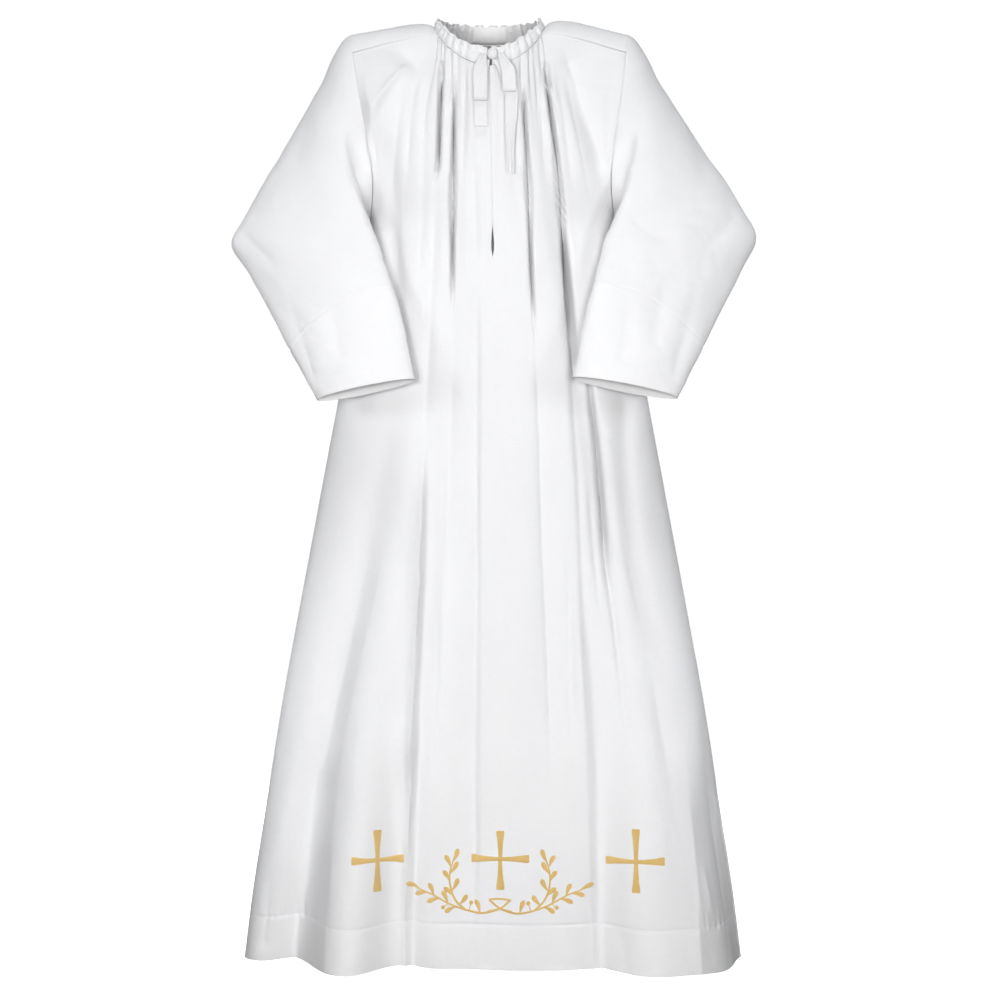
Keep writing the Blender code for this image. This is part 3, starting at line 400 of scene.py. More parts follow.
# %% [markdown]
# The smaller creases are placed one by one. Each is a path down the cloth, in millimetres across and down,
# with its own depth and its own width on each side: a crease that is narrow on one side and wide on the
# other looks like a soft fold leaning over, and the very deep and narrow ones are pleats that shut
# tight. Evenly spaced or equal creases would look ironed in.
# %% Creases
# path: places (x, down) on the cloth in millimetres. deep: how far it sinks in, or stands out where it
# is negative. left, right: its width on either side. fade_in, fade_out: the share of its length that
# each end takes to fade.
MM = 1000  # millimetres in a metre
NARROW_VALLEY, SHARP_RIDGE = 1.3, 1.05  # 2 would be round, and 1 sharp
Crease = namedtuple("Crease", "path deep left right fade_in fade_out")
FRONT_CREASES = (
    Crease(((-78, 79), (-79, 121), (-80, 163), (-81, 221), (-83, 273)), 34.0, 1.8, 2.1, 0.06, 0.3),
    Crease(((-57, 91), (-58, 175), (-59, 266), (-60, 348), (-60, 474)), 32.0, 1.8, 2.1, 0.25, 0.3),
    Crease(((-60, 444), (-62, 622), (-68, 799), (-77, 1037)), 2.6, 4.0, 8.0, 0.3, 0.4),
    Crease(((49, 113), (48, 163), (51, 221), (54, 296), (57, 385), (63, 511)), 30.0, 2.0, 1.8, 0.12, 0.3),
    Crease(((61, 474), (68, 636), (73, 807), (83, 1037), (89, 1230)), 3.4, 3.5, 9.0, 0.2, 0.3),
    Crease(((80, 76), (84, 129), (88, 167), (94, 221), (100, 296), (107, 370), (113, 432), (119, 518)),
           36.0, 2.3, 2.0, 0.05, 0.15),
    Crease(((103, 325), (108, 385), (113, 432), (119, 503), (125, 570)), 34.0, 3.4, 3.2, 0.25, 0.2),
    Crease(((116, 488), (120, 592), (126, 696), (134, 888), (143, 1096)), 5.2, 4.0, 10.0, 0.15, 0.3),
    Crease(((107, 54), (120, 95), (134, 144), (150, 193), (165, 236), (172, 260)),
           11.0, 13.0, 34.0, 0.12, 0.12),
    Crease(((-107, 79), (-119, 129), (-126, 221), (-131, 340)), 4.6, 5.0, 7.0, 0.2, 0.5),
    Crease(((-94, 82), (-102, 175), (-105, 296), (-111, 444)), 3.8, 4.0, 6.0, 0.2, 0.5),
    Crease(((-84, 190), (-86, 296), (-90, 400), (-96, 518), (-102, 696)), 4.8, 5.0, 7.0, 0.4, 0.4),
    Crease(((-43, 91), (-43, 175), (-46, 281), (-47, 385)), 2.8, 3.0, 5.0, 0.2, 0.5),
    Crease(((-34, 190), (-26, 296), (-23, 444)), 4.0, 8.0, 5.0, 0.35, 0.4),
    Crease(((65, 79), (66, 137), (69, 206)), 2.6, 2.5, 3.0, 0.2, 0.5),
    Crease(((72, 85), (73, 160), (76, 251), (80, 355)), 2.2, 3.0, 4.0, 0.2, 0.5),
    Crease(((94, 82), (103, 144), (112, 221), (120, 310), (129, 414)), 3.4, 4.0, 8.0, 0.2, 0.5),
    Crease(((109, 85), (121, 160), (135, 236), (150, 325)), 2.4, 4.0, 7.0, 0.2, 0.5),
    Crease(((-131, 113), (-142, 175), (-149, 251), (-155, 355)), 4.4, 7.0, 9.0, 0.3, 0.5),
    Crease(((-118, 76), (-145, 107), (-167, 135), (-186, 172), (-197, 221)), -22.0, 28.0, 20.0, 0.2, 0.45),
    Crease(((-189, 144), (-179, 206), (-170, 281)), 4.8, 10.0, 12.0, 0.3, 0.5),
    Crease(((187, 98), (175, 144), (168, 206)), 2.4, 8.0, 12.0, 0.3, 0.5),
    Crease(((-170, 251), (-158, 340), (-146, 429), (-131, 488), (-124, 548)), 2.0, 9.0, 12.0, 0.3, 0.3),
    Crease(((180, 260), (169, 313), (160, 370), (151, 444)), -7.0, 14.0, 14.0, 0.3, 0.4),
    Crease(((-158, 770), (-173, 876), (-189, 948), (-206, 1022), (-219, 1089), (-231, 1170), (-237, 1230)),
           -9.0, 28.0, 45.0, 0.35, 0.15),
    Crease(((-231, 1170), (-237, 1230), (-240, 1297), (-242, 1341), (-246, 1378), (-248, 1460)),
           -9.0, 30.0, 50.0, 0.25, 0.02),
    Crease(((-179, 770), (-194, 876), (-212, 948), (-230, 1022), (-243, 1089), (-256, 1170)),
           6.0, 22.0, 22.0, 0.35, 0.3),
    Crease(((-243, 1089), (-267, 1170), (-274, 1230), (-280, 1304), (-288, 1356), (-303, 1408),
            (-306, 1460)), 11.0, 24.0, 28.0, 0.3, 0.02),
    Crease(((-307, 1304), (-298, 1371), (-301, 1460)), 4.0, 9.0, 8.0, 0.4, 0.05),
    Crease(((-100, 636), (-105, 807), (-108, 896), (-112, 985), (-115, 1066), (-118, 1170)),
           -22.0, 29.0, 3.0, 0.25, 0.15),
    Crease(((-114, 1051), (-118, 1170), (-121, 1277), (-124, 1341), (-127, 1460)),
           -24.0, 31.0, 3.0, 0.25, 0.02),
    Crease(((-144, 1326), (-145, 1364), (-147, 1386), (-148, 1460)), -6.0, 16.0, 3.0, 0.3, 0.02),
    Crease(((-22, 400), (-23, 622), (-23, 888), (-25, 1126), (-26, 1304), (-29, 1401)),
           7.5, 11.0, 3.0, 0.15, 0.2),
    Crease(((-74, 770), (-75, 948), (-81, 1096), (-87, 1230)), 3.6, 6.0, 8.0, 0.3, 0.4),
    Crease(((111, 770), (116, 948), (120, 1066), (125, 1185)), 5.0, 5.0, 10.0, 0.3, 0.4),
    Crease(((120, 807), (126, 896), (132, 985), (137, 1066), (141, 1155), (143, 1259),
            (147, 1341), (152, 1460)), -7.0, 30.0, 10.0, 0.25, 0.02),
    Crease(((134, 807), (140, 896), (146, 985), (150, 1066), (155, 1155), (156, 1259),
            (159, 1341), (164, 1460)), 6.0, 8.0, 16.0, 0.25, 0.02),
    Crease(((143, 696), (150, 807), (156, 866), (160, 925)), 4.2, 4.0, 5.0, 0.25, 0.35),
    Crease(((141, 518), (147, 592), (156, 673), (163, 755), (169, 829), (175, 888)),
           26.0, 3.2, 3.2, 0.25, 0.3),
    Crease(((144, 548), (156, 673), (162, 740), (168, 829), (178, 903), (189, 992), (198, 1074),
            (221, 1170)), 10.0, 4.0, 12.0, 0.2, 0.4),
    Crease(((191, 784), (206, 847), (227, 948)), 3.0, 6.0, 9.0, 0.3, 0.4),
    Crease(((230, 948), (251, 1081), (272, 1200)), 4.0, 10.0, 16.0, 0.4, 0.4),
    Crease(((177, 1356), (192, 1393), (201, 1460)), 3.6, 10.0, 12.0, 0.4, 0.05),
    Crease(((284, 1066), (293, 1155), (299, 1230), (305, 1297), (308, 1341), (308, 1393), (311, 1460)),
           -11.0, 60.0, 26.0, 0.45, 0.02),
    Crease(((316, 1096), (331, 1185), (343, 1259), (354, 1334), (361, 1393), (367, 1460)),
           28.0, 36.0, 14.0, 0.4, 0.02),
    Crease(((313, 1277), (319, 1304), (325, 1334), (331, 1361)), -4.0, 5.0, 6.0, 0.3, 0.3),
    Crease(((-286, 948), (-314, 1096), (-334, 1230)), 4.0, 14.0, 18.0, 0.4, 0.4),
    Crease(((-334, 1289), (-343, 1364), (-349, 1423)), 4.0, 10.0, 12.0, 0.4, 0.05),
    Crease(((-56, 444), (-4, 429), (40, 429), (82, 444)), 0.8, 2.5, 6.0, 0.2, 0.3),
)
BACK_CREASES = (
    Crease(((-150, 150), (-140, 340), (-146, 620)), 6.8, 10.0, 18.0, 0.2, 0.4),
    Crease(((-110, 60), (-118, 200), (-112, 360)), 5.1, 6.0, 12.0, 0.1, 0.4),
    Crease(((-58, 80), (-64, 260), (-70, 520)), 5.1, 12.0, 6.0, 0.1, 0.4),
    Crease(((-12, 70), (-14, 220), (-20, 440)), 4.4, 7.0, 12.0, 0.1, 0.5),
    Crease(((34, 70), (40, 250), (50, 480)), 5.4, 7.0, 14.0, 0.1, 0.4),
    Crease(((78, 60), (90, 230), (94, 420)), 4.8, 12.0, 7.0, 0.1, 0.4),
    Crease(((124, 60), (142, 220), (140, 500)), 6.1, 8.0, 16.0, 0.2, 0.4),
    Crease(((170, 300), (154, 420), (160, 600)), 5.8, 12.0, 14.0, 0.2, 0.4),
    Crease(((-172, 310), (-166, 460), (-180, 640)), 5.4, 14.0, 12.0, 0.2, 0.4),
    Crease(((-210, 620), (-246, 940), (-262, 1280), (-270, 1450)), 8.8, 20.0, 12.0, 0.3, 0.02),
    Crease(((-150, 700), (-170, 1000), (-176, 1300)), 6.8, 12.0, 20.0, 0.3, 0.4),
    Crease(((-88, 600), (-100, 900), (-104, 1200), (-108, 1450)), 7.1, 14.0, 18.0, 0.3, 0.02),
    Crease(((-30, 780), (-36, 1020), (-34, 1240)), 5.8, 18.0, 12.0, 0.4, 0.4),
    Crease(((28, 560), (34, 840), (40, 1160), (44, 1450)), 6.8, 12.0, 18.0, 0.3, 0.02),
    Crease(((104, 660), (118, 980), (122, 1300)), 6.8, 18.0, 12.0, 0.3, 0.3),
    Crease(((176, 700), (206, 1040), (222, 1450)), 8.5, 14.0, 20.0, 0.3, 0.02),
    Crease(((250, 740), (286, 1100), (302, 1450)), 7.8, 18.0, 14.0, 0.3, 0.02),
    Crease(((-310, 1020), (-322, 1240), (-330, 1450)), 6.8, 16.0, 16.0, 0.4, 0.02),
)
SLEEVE_FRONT_CREASES = (
    Crease(((186, 160), (214, 240), (236, 330)), 3.4, 10.0, 16.0, 0.2, 0.5),
    Crease(((196, 310), (238, 345), (292, 352)), 3.4, 10.0, 12.0, 0.2, 0.5),
    Crease(((376, 300), (336, 345), (300, 372)), 3.6, 8.0, 12.0, 0.15, 0.5),
    Crease(((305, 150), (318, 215), (326, 275)), 3.0, 14.0, 16.0, 0.4, 0.4),
    Crease(((262, 400), (244, 470), (232, 530)), 3.2, 12.0, 14.0, 0.4, 0.3),
    Crease(((200, 430), (196, 490), (188, 550)), 2.6, 10.0, 14.0, 0.4, 0.2),
    Crease(((300, 430), (284, 500), (262, 570)), 2.4, 12.0, 10.0, 0.4, 0.2),
)
RIGHT_SLEEVE_CREASES = (
    Crease(((180, 170), (204, 260), (222, 350)), 4.0, 12.0, 18.0, 0.2, 0.5),
    Crease(((192, 320), (236, 362), (286, 372)), 3.0, 10.0, 12.0, 0.2, 0.5),
    Crease(((386, 330), (350, 366), (318, 398)), 4.0, 8.0, 12.0, 0.15, 0.5),
    Crease(((270, 130), (290, 200), (300, 290)), 2.8, 16.0, 14.0, 0.4, 0.4),
    Crease(((250, 430), (232, 490), (222, 550)), 2.8, 12.0, 14.0, 0.4, 0.3),
    Crease(((306, 430), (282, 510), (258, 580)), 2.6, 12.0, 12.0, 0.4, 0.2),
)
SLEEVE_BACK_CREASES = (
    Crease(((190, 120), (230, 220), (250, 340)), 4.0, 14.0, 18.0, 0.2, 0.4),
    Crease(((180, 300), (230, 352), (290, 366)), 4.0, 12.0, 14.0, 0.2, 0.4),
    Crease(((388, 322), (340, 356), (296, 390)), 4.2, 10.0, 14.0, 0.2, 0.5),
    Crease(((286, 120), (312, 210), (322, 300)), 3.2, 16.0, 14.0, 0.4, 0.4),
    Crease(((240, 420), (222, 490), (206, 560)), 3.0, 12.0, 14.0, 0.4, 0.3),
)


def smooth_path(path, count=24):
    """The path as many points, on a smooth curve through the given ones."""
    path = np.array(path, float)
    run = run_along(path)
    return smooth_curve(run, path, np.linspace(0, run[-1], count))


def crease_depth(creases, x, down):
    """How far places on the cloth sink in, from all these creases."""
    total = np.zeros(x.shape)
    for crease in creases:
        path = smooth_path(crease.path) / MM
        left, right = crease.left / MM, crease.right / MM
        reach = 4 * max(left, right)
        low, high = path.min(axis=0) - reach, path.max(axis=0) + reach
        near = (x > low[0]) & (x < high[0]) & (down > low[1]) & (down < high[1])
        place = np.stack([x[near], down[near]], -1)[:, None]
        start, step = path[None, :-1], np.diff(path, axis=0)[None]
        share = np.clip(((place - start) * step).sum(-1) / (step**2).sum(-1), 0, 1)
        away = place - start - step * share[..., None]
        distance = np.linalg.norm(away, axis=-1)
        nearest = distance.argmin(axis=1)
        rows = np.arange(len(nearest))
        away, step = away[rows, nearest], step[0, nearest]
        side = step[:, 1] * away[:, 0] - step[:, 0] * away[:, 1]
        width = np.where(side < 0, left, right)
        power = NARROW_VALLEY if crease.deep > 0 else SHARP_RIDGE
        along = (nearest + share[rows, nearest]) / (len(path) - 1)
        ends = ease(along / crease.fade_in) * ease((1 - along) / crease.fade_out)
        total[near] += crease.deep / MM * np.exp(-((distance[rows, nearest] / width) ** power)) * ends
    return total


TABLES = (FRONT_CREASES, BACK_CREASES, SLEEVE_FRONT_CREASES, RIGHT_SLEEVE_CREASES, SLEEVE_BACK_CREASES)
print("creases placed by hand:", sum(len(table) for table in TABLES))

# %% [markdown]
# Every piece of cloth is a grid of points turned into a mesh, with a thin wall added by Solidify.
# The UV map is laid out in real metres, so threads in the material have the same size everywhere, and
# a value called "double" marks where the cloth lies double, as in a turned-up hem.
# %% Making cloth
def grid_normals(points, closed=False):
    """The way out of the cloth at each point of a grid whose rows run to the right and go down."""
    if closed:
        wide = np.concatenate([points[:, -1:], points, points[:, :1]], axis=1)
        across = wide[:, 2:] - wide[:, :-2]
    else:
        across = np.gradient(points, axis=1)
    normals = np.cross(np.gradient(points, axis=0), across)
    return normals / np.maximum(np.linalg.norm(normals, axis=-1, keepdims=True), 1e-12)


def run_across(points, start):
    """Metres along each row from the start column."""
    run = run_along(points, axis=1)
    return run - run[:, start : start + 1]


def run_up(points):
    """Metres along each column from its lowest point."""
    return run_along(points[::-1])[::-1]


def add_mesh(name, points, faces, material):
    """A smooth piece from its points and faces."""
    mesh = bpy.data.meshes.new(name)
    mesh.from_pydata([tuple(point) for point in points], [], faces)
    mesh.shade_smooth()
    mesh.materials.append(material)
    piece = bpy.data.objects.new(name, mesh)
    scene.collection.objects.link(piece)
    return piece


def set_uv(piece, corners):
    """The UV map, from a pair for each corner of each face."""
    layer = piece.data.uv_layers.new(name="cloth")
    layer.data.foreach_set("uv", np.asarray(corners, np.float32).ravel())


def add_cloth(name, points, material, wall=CLOTH, closed=False, start=0, double=None, joined=None):
    """A piece of cloth from a grid. closed joins its last column to its first. joined is for a slit
    before the start column: it says which of the slit's points, below its end, are really one."""
    rows, columns = points.shape[:2]
    wide = np.concatenate([points, points[:, :1]], axis=1) if closed else points
    across, up = run_across(wide, start), run_up(wide)
    number = np.arange(rows * columns).reshape(rows, columns)
    if joined is not None:
        number = joined(number)
    r, c = np.meshgrid(np.arange(rows - 1), np.arange(columns if closed else columns - 1), indexing="ij")
    corner_rows = np.stack([r, r + 1, r + 1, r], -1).reshape(-1, 4)
    corner_columns = np.stack([c, c, c + 1, c + 1], -1).reshape(-1, 4)
    faces = number[corner_rows, corner_columns % columns]
    whole = np.array([len(set(face)) == 4 for face in faces.tolist()])
    if joined is not None:
        whole &= corner_columns[:, 0] != start - 1
    faces, corner_rows, corner_columns = faces[whole], corner_rows[whole], corner_columns[whole]
    used, faces = np.unique(faces, return_inverse=True)
    piece = add_mesh(name, points.reshape(-1, 3)[used].tolist(), faces.reshape(-1, 4).tolist(), material)
    set_uv(piece, np.stack([across, up], -1)[corner_rows, corner_columns])
    if double is not None:
        values = np.asarray(double, np.float32).reshape(-1)[used]
        piece.data.attributes.new("double", "FLOAT", "POINT").data.foreach_set("value", values)
    shell = piece.modifiers.new("wall", "SOLIDIFY")
    shell.thickness = wall
    shell.offset = -1
    even = piece.modifiers.new("even_light", "WEIGHTED_NORMAL")  # keeps the thin rim from shading the edge
    even.weight = 90
    areas[name] = sum(polygon.area for polygon in piece.data.polygons)
    return piece


areas = {}
pieces = {}
print("each cloth is", CLOTH, "m thick, laid inwards from its grid")

# %% [markdown]
# A finish is a small tree of nodes: noise, waves, sums and bumps. One short function for each kind of
# node keeps the finishes easy to read, and because the UV map is in metres, every size in them is a
# real one. Nodes set up in the editor would look the same, but each finish would repeat the work.
# %% Nodes for the finishes
def new_material(name, colour, roughness, sheen=0.0):
    material = bpy.data.materials.new(name)
    material.use_nodes = True
    shader = material.node_tree.nodes["Principled BSDF"]
    shader.inputs["Base Color"].default_value = (*colour, 1)
    shader.inputs["Roughness"].default_value = roughness
    shader.inputs["Sheen Weight"].default_value = sheen
    shader.inputs["Sheen Roughness"].default_value = 0.6
    shader.inputs["Specular IOR Level"].default_value = 0.25
    return material, material.node_tree, shader


def add_node(tree, kind, **settings):
    node = tree.nodes.new(kind)
    for key, value in settings.items():
        setattr(node, key, value)
    return node


def math_node(tree, operation, a, b):
    """One step of arithmetic. a and b are numbers or the outputs of other nodes."""
    node = add_node(tree, "ShaderNodeMath", operation=operation)
    for socket, value in zip(node.inputs, (a, b)):
        if isinstance(value, (int, float)):
            socket.default_value = value
        else:
            tree.links.new(value, socket)
    return node.outputs[0]


def weighted(tree, first, first_share, second, second_share):
    """The sum of two outputs, each multiplied by its share."""
    return math_node(tree, "ADD", math_node(tree, "MULTIPLY", first, first_share),
                     math_node(tree, "MULTIPLY", second, second_share))


def scaled_uv(tree, across, up):
    """UV coordinates multiplied each way, so that noise can be stretched."""
    place = add_node(tree, "ShaderNodeUVMap", uv_map="cloth")
    scale = add_node(tree, "ShaderNodeMapping")
    scale.inputs["Scale"].default_value = (across, up, 1)
    tree.links.new(place.outputs["UV"], scale.inputs["Vector"])
    return scale.outputs["Vector"]


def noise(tree, across, up, detail=2.0):
    """Noise with that many bumps to the metre each way."""
    node = add_node(tree, "ShaderNodeTexNoise")
    node.inputs["Scale"].default_value = 1.0
    node.inputs["Detail"].default_value = detail
    tree.links.new(scaled_uv(tree, across, up), node.inputs["Vector"])
    return node.outputs["Fac"]


WAVE_PITCH = 0.314  # metres between the bands of a wave texture whose scale is 1


def threads(tree, direction, pitch, lean=0.0):
    """Ridges of thread along one way of the cloth, as a wave of that pitch."""
    wave = add_node(tree, "ShaderNodeTexWave", bands_direction=direction)
    vector = scaled_uv(tree, 1.0, 1.0)
    if lean:
        turn = add_node(tree, "ShaderNodeVectorRotate", rotation_type="Z_AXIS")
        turn.inputs["Angle"].default_value = lean
        tree.links.new(vector, turn.inputs["Vector"])
        vector = turn.outputs["Vector"]
    tree.links.new(vector, wave.inputs["Vector"])
    wave.inputs["Scale"].default_value = WAVE_PITCH / pitch
    return wave.outputs["Fac"]


def add_bump(tree, shader, height, distance, before=None):
    """Bump of that many metres, on top of an earlier bump."""
    bump = add_node(tree, "ShaderNodeBump")
    bump.inputs["Distance"].default_value = distance
    tree.links.new(height, bump.inputs["Height"])
    if before is not None:
        tree.links.new(before, bump.inputs["Normal"])
    tree.links.new(bump.outputs["Normal"], shader.inputs["Normal"])
    return bump.outputs["Normal"]


MIX_SHARE, MIX_LOW, MIX_HIGH, MIX_RESULT = 0, 6, 7, 2  # a Mix node's sockets for colours


def tinted(tree, shader, amount, low, high):
    """Base colour from one tint to another as the amount goes from 0 to 1."""
    blend = add_node(tree, "ShaderNodeMix", data_type="RGBA")
    blend.inputs[MIX_LOW].default_value = (*low, 1)
    blend.inputs[MIX_HIGH].default_value = (*high, 1)
    tree.links.new(amount, blend.inputs[MIX_SHARE])
    tree.links.new(blend.outputs[MIX_RESULT], shader.inputs["Base Color"])


print("a wave texture of scale 1 repeats every", WAVE_PITCH, "m")

# %% [markdown]
# The alb's cloth is a fine plain weave of linen and cotton: matt, with slightly thicker threads, called
# slubs, that show as faint short streaks both ways. Two crossed waves make the weave, and stretched
# noise makes the slubs. They only change the bump and a little of the colour. An image of cloth would
# give the same look with less freedom, and would blur close up.
# %% The white cloth
def woven(name, low, high, roughness, sheen):
    """The white cloth: low is its colour in the thin places, high at the slubs and doubled hems."""
    material, tree, shader = new_material(name, low, roughness, sheen)
    warp_slubs = noise(tree, 900, 60)
    weft_slubs = noise(tree, 45, 800)
    slubs = weighted(tree, warp_slubs, 0.45, weft_slubs, 0.55)
    cloudy = noise(tree, 14, 9, detail=3.0)
    doubled = add_node(tree, "ShaderNodeAttribute", attribute_name="double").outputs["Fac"]
    shade = weighted(tree, slubs, 0.75, cloudy, 0.30)
    shade = math_node(tree, "ADD", shade, math_node(tree, "MULTIPLY", doubled, 0.15))
    tinted(tree, shader, math_node(tree, "SUBTRACT", shade, 0.25), low, high)
    weave = math_node(tree, "MULTIPLY", threads(tree, "X", 0.00055), threads(tree, "Y", 0.00060))
    normal = add_bump(tree, shader, cloudy, 0.0012)
    normal = add_bump(tree, shader, slubs, 0.00035, normal)
    add_bump(tree, shader, weave, 0.00006, normal)
    return material


white_cloth = woven("white_cloth", (0.76, 0.76, 0.775), (0.86, 0.855, 0.86), 0.92, 0.12)
print("materials so far:", white_cloth.name)

# %% [markdown]
# The front and the back are each one width of cloth with a deep hem turned up. Their rows are close
# together at the neck, where the gathers are, and at the hem's line of stitches, which pulls the cloth
# in by about a millimetre. The front is cut in the middle down to the end of its slit.
# %% The front and the back
HEM_DEPTH = 0.067  # the turned-up hem, which lies double
HEM_EDGE = 0.0015  # how wide the step is where the double cloth begins
HEM_ZONE, HEM_SCALE = 0.80, 1.40  # below this share the rows keep a fixed height above the hem
STITCH_PULL, STITCH_WIDTH = 0.0011, 0.0022  # how deep and wide a line of stitches sinks in
PUCKER, PUCKER_PITCH = 0.0036, 0.0105  # how deep the cloth puckers above the hem, near the sides
PUCKER_PATCHES = ((-0.29, 0.05), (0.34, 0.03))  # where the puckers lie across, and how wide they spread
PUCKER_RISE, PUCKER_TALL = 0.006, 0.009  # how far above the line they are deepest, and how tall they are
ROLL, RIPPLE = 0.0007, 0.0004  # how far the cloth's wide and its fine unevenness stands out
ROLL_SIZE, RIPPLE_SIZE, RIPPLE_FROM = 0.030, 0.012, 0.3  # how wide each is; where the fine one begins
SEAM_DIP, SEAM_WIDTH = 0.0012, 0.0022  # how deep and wide the side seams sink in
EDGE_SPAN = 0.22  # metres from a panel's middle to its edge, about
STRAIGHT_BACK = 0.3  # creases sink almost straight back, so that none leans over its neighbour
GATHER_COLUMNS, SHOULDER_COLUMNS = 13, 47


def panel_columns():
    """Places across a panel: thirteen for each gather, and fewer over the shoulders."""
    angles = [0.0]
    front_gathers = GATHERS[0][2]
    for low, high in zip(BOUNDS[:front_gathers, 0], BOUNDS[1 : front_gathers + 1, 0]):
        angles += list(np.linspace(low, high, GATHER_COLUMNS + 1)[1:])
    neck = np.array(angles) * NECK_SHARE / YOKE_START
    shoulder = mix(NECK_SHARE, 1.0, np.linspace(0, 1, SHOULDER_COLUMNS + 1)[1:] ** 0.92)
    half = np.concatenate([neck, shoulder])
    return np.concatenate([-half[::-1], half])


def panel_rows():
    """Shares of the way from the upper edge to the hem."""
    steps = np.array((-0.006, -0.0035, -0.0018, 0, 0.0018, 0.0035, 0.006))
    near_line = 1 - HEM_DEPTH / HEM_SCALE + steps / HEM_SCALE
    top = np.linspace(0, 1, 34) ** 1.35 * 0.13
    middle = np.linspace(0.13, 0.94, 94)[1:]
    low = np.append(np.linspace(0.96, 0.9994, 10), 1.0)
    return np.unique(np.concatenate([top, middle, near_line, low]).round(6))


def panel_levels(side, u, shares):
    """How far down each row lies in each column."""
    top, foot = -top_point(side, u)[..., 2], foot_at(side, u)
    shares = shares[:, None]
    upper = mix(top, foot - (1 - HEM_ZONE) * HEM_SCALE, np.minimum(shares / HEM_ZONE, 1))
    return np.where(shares < HEM_ZONE, upper, foot - (1 - shares) * HEM_SCALE)


def uneven(side, x, down, fade):
    """How far the cloth sinks in and stands out, because no hand-made cloth hangs quite smooth."""
    wide = ROLL * soft_noise(x, down * 0.45, ROLL_SIZE, 4 + side) * fade
    fine = RIPPLE * soft_noise(x, down * 0.6, RIPPLE_SIZE, 9 + side) * fade
    return wide + fine * ease((down - RIPPLE_FROM) / 0.5)


def hem_relief(side, x, up):
    """How far the hem's line of stitches sinks in, with the puckers above it. up: from the hem."""
    tight = 0.5 + 0.5 * soft_noise(x, up * 0 + 3, 0.011, 21 + side)
    line = bell(up - HEM_DEPTH, STITCH_WIDTH) * STITCH_PULL * (0.6 + 0.8 * tight)
    jitter = 4 * soft_noise(x, up * 0, 0.02, 31 + side)
    strokes = np.maximum(np.sin(x * 2 * np.pi / PUCKER_PITCH + jitter), 0)
    patches = sum(bell(x - place, spread) for place, spread in PUCKER_PATCHES)
    return line + PUCKER * bell(up - HEM_DEPTH - PUCKER_RISE, PUCKER_TALL) * patches * strokes


def panel_grid(side):
    """The finished front or back and its levels. The front has its middle column twice, one on each
    side of the slit."""
    u, shares = panel_columns(), panel_rows()
    down = panel_levels(side, u[None, :], shares)
    points = panel_at(side, u[None, :] + 0 * down, down)
    if side == BACK:
        middle = len(u) // 2
        points, down = (np.delete(values, middle, axis=1)[:, ::-1] for values in (points, down))
        u = np.delete(u, middle)[::-1]
    out = grid_normals(points)
    x = points[..., 0]
    sunk = crease_depth(FRONT_CREASES if side == FRONT else BACK_CREASES, x, down)
    fade = ease((1 - np.abs(u)) / 0.05) * ease((down + top_point(side, u)[..., 2]) / 0.02)
    sunk = sunk * fade + uneven(side, x, down, fade) + hem_relief(side, x, run_up(points))
    armhole = ease((UNDERARM + 0.02 - down) / 0.02)
    sunk += bell((1 - np.abs(u)) * EDGE_SPAN, SEAM_WIDTH) * SEAM_DIP * mix(0.6, 1.0, armhole)
    out[..., 0] *= STRAIGHT_BACK
    points = points - out * sunk[..., None]
    return points, down


def front_points():
    """The front's points, with its middle drawn a little apart down to the end of the slit, and half
    the slit's width at each row."""
    points, down = panel_grid(FRONT)
    middle = points.shape[1] // 2
    way = (down[:, middle] + NECK_SEAM.front_z) / (SLIT_DEPTH + NECK_SEAM.front_z)
    half = mix(SLIT_CLOSED, SLIT_OPEN, ease((way - 0.84) / 0.08)) * (way < 0.999)
    centre = (points[:, middle, 0] + points[:, middle - 1, 0]) / 2
    points[:, middle - 1 : middle + 1, 0] = centre[:, None]
    aside = points[..., 0] - centre[:, None]
    way_out = np.where(np.arange(points.shape[1]) < middle, -1, 1)
    points[..., 0] += way_out * half[:, None] * np.exp(-np.abs(aside) / SLIT_SPREAD)
    return points, half


front_grid, slit_half = front_points()
back_grid, _ = panel_grid(BACK)
middle_column = front_grid.shape[1] // 2


def slit_joined(number):
    """Below the slit's end its two sides are one line of points."""
    below = slit_half == 0
    number = number.copy()
    number[below, middle_column - 1] = number[below, middle_column]
    return number


def doubled(points, depth):
    """1 where the cloth lies double above its lower edge, 0 elsewhere."""
    return ease((depth - run_up(points)) / HEM_EDGE + 0.5)


pieces["body_front"] = add_cloth("body_front_cloth", front_grid, white_cloth, start=middle_column,
                                 double=doubled(front_grid, HEM_DEPTH), joined=slit_joined)
pieces["body_back"] = add_cloth("body_back_cloth", back_grid, white_cloth, start=back_grid.shape[1] // 2,
                                double=doubled(back_grid, HEM_DEPTH))
print("front", front_grid.shape, "area", round(areas["body_front_cloth"], 3),
      " back", back_grid.shape, "area", round(areas["body_back_cloth"], 3))

# %% [markdown]
# The yokes are short strips with a few soft hollows. Their edges dip where the seams pull them in.
# %% The yokes
YOKE_CREASES = (
    Crease(((100, -30), (140, -12), (190, 4)), 1.6, 6.0, 8.0, 0.3, 0.4),
    Crease(((110, 20), (150, 16), (200, 22)), 1.4, 8.0, 6.0, 0.3, 0.4),
)


def mirrored(points):
    """A grid of the wearer's left side, made the right side's."""
    return points[:, ::-1] * np.array((-1, 1, 1))


YOKE_ROLL, YOKE_DIP = 0.0005, 0.0003  # how uneven a yoke is, and how far its seams sink in
YOKE_HALF, YOKE_SEAM = 0.037, 0.0025  # about half a yoke's depth, and how wide its seams' dips are


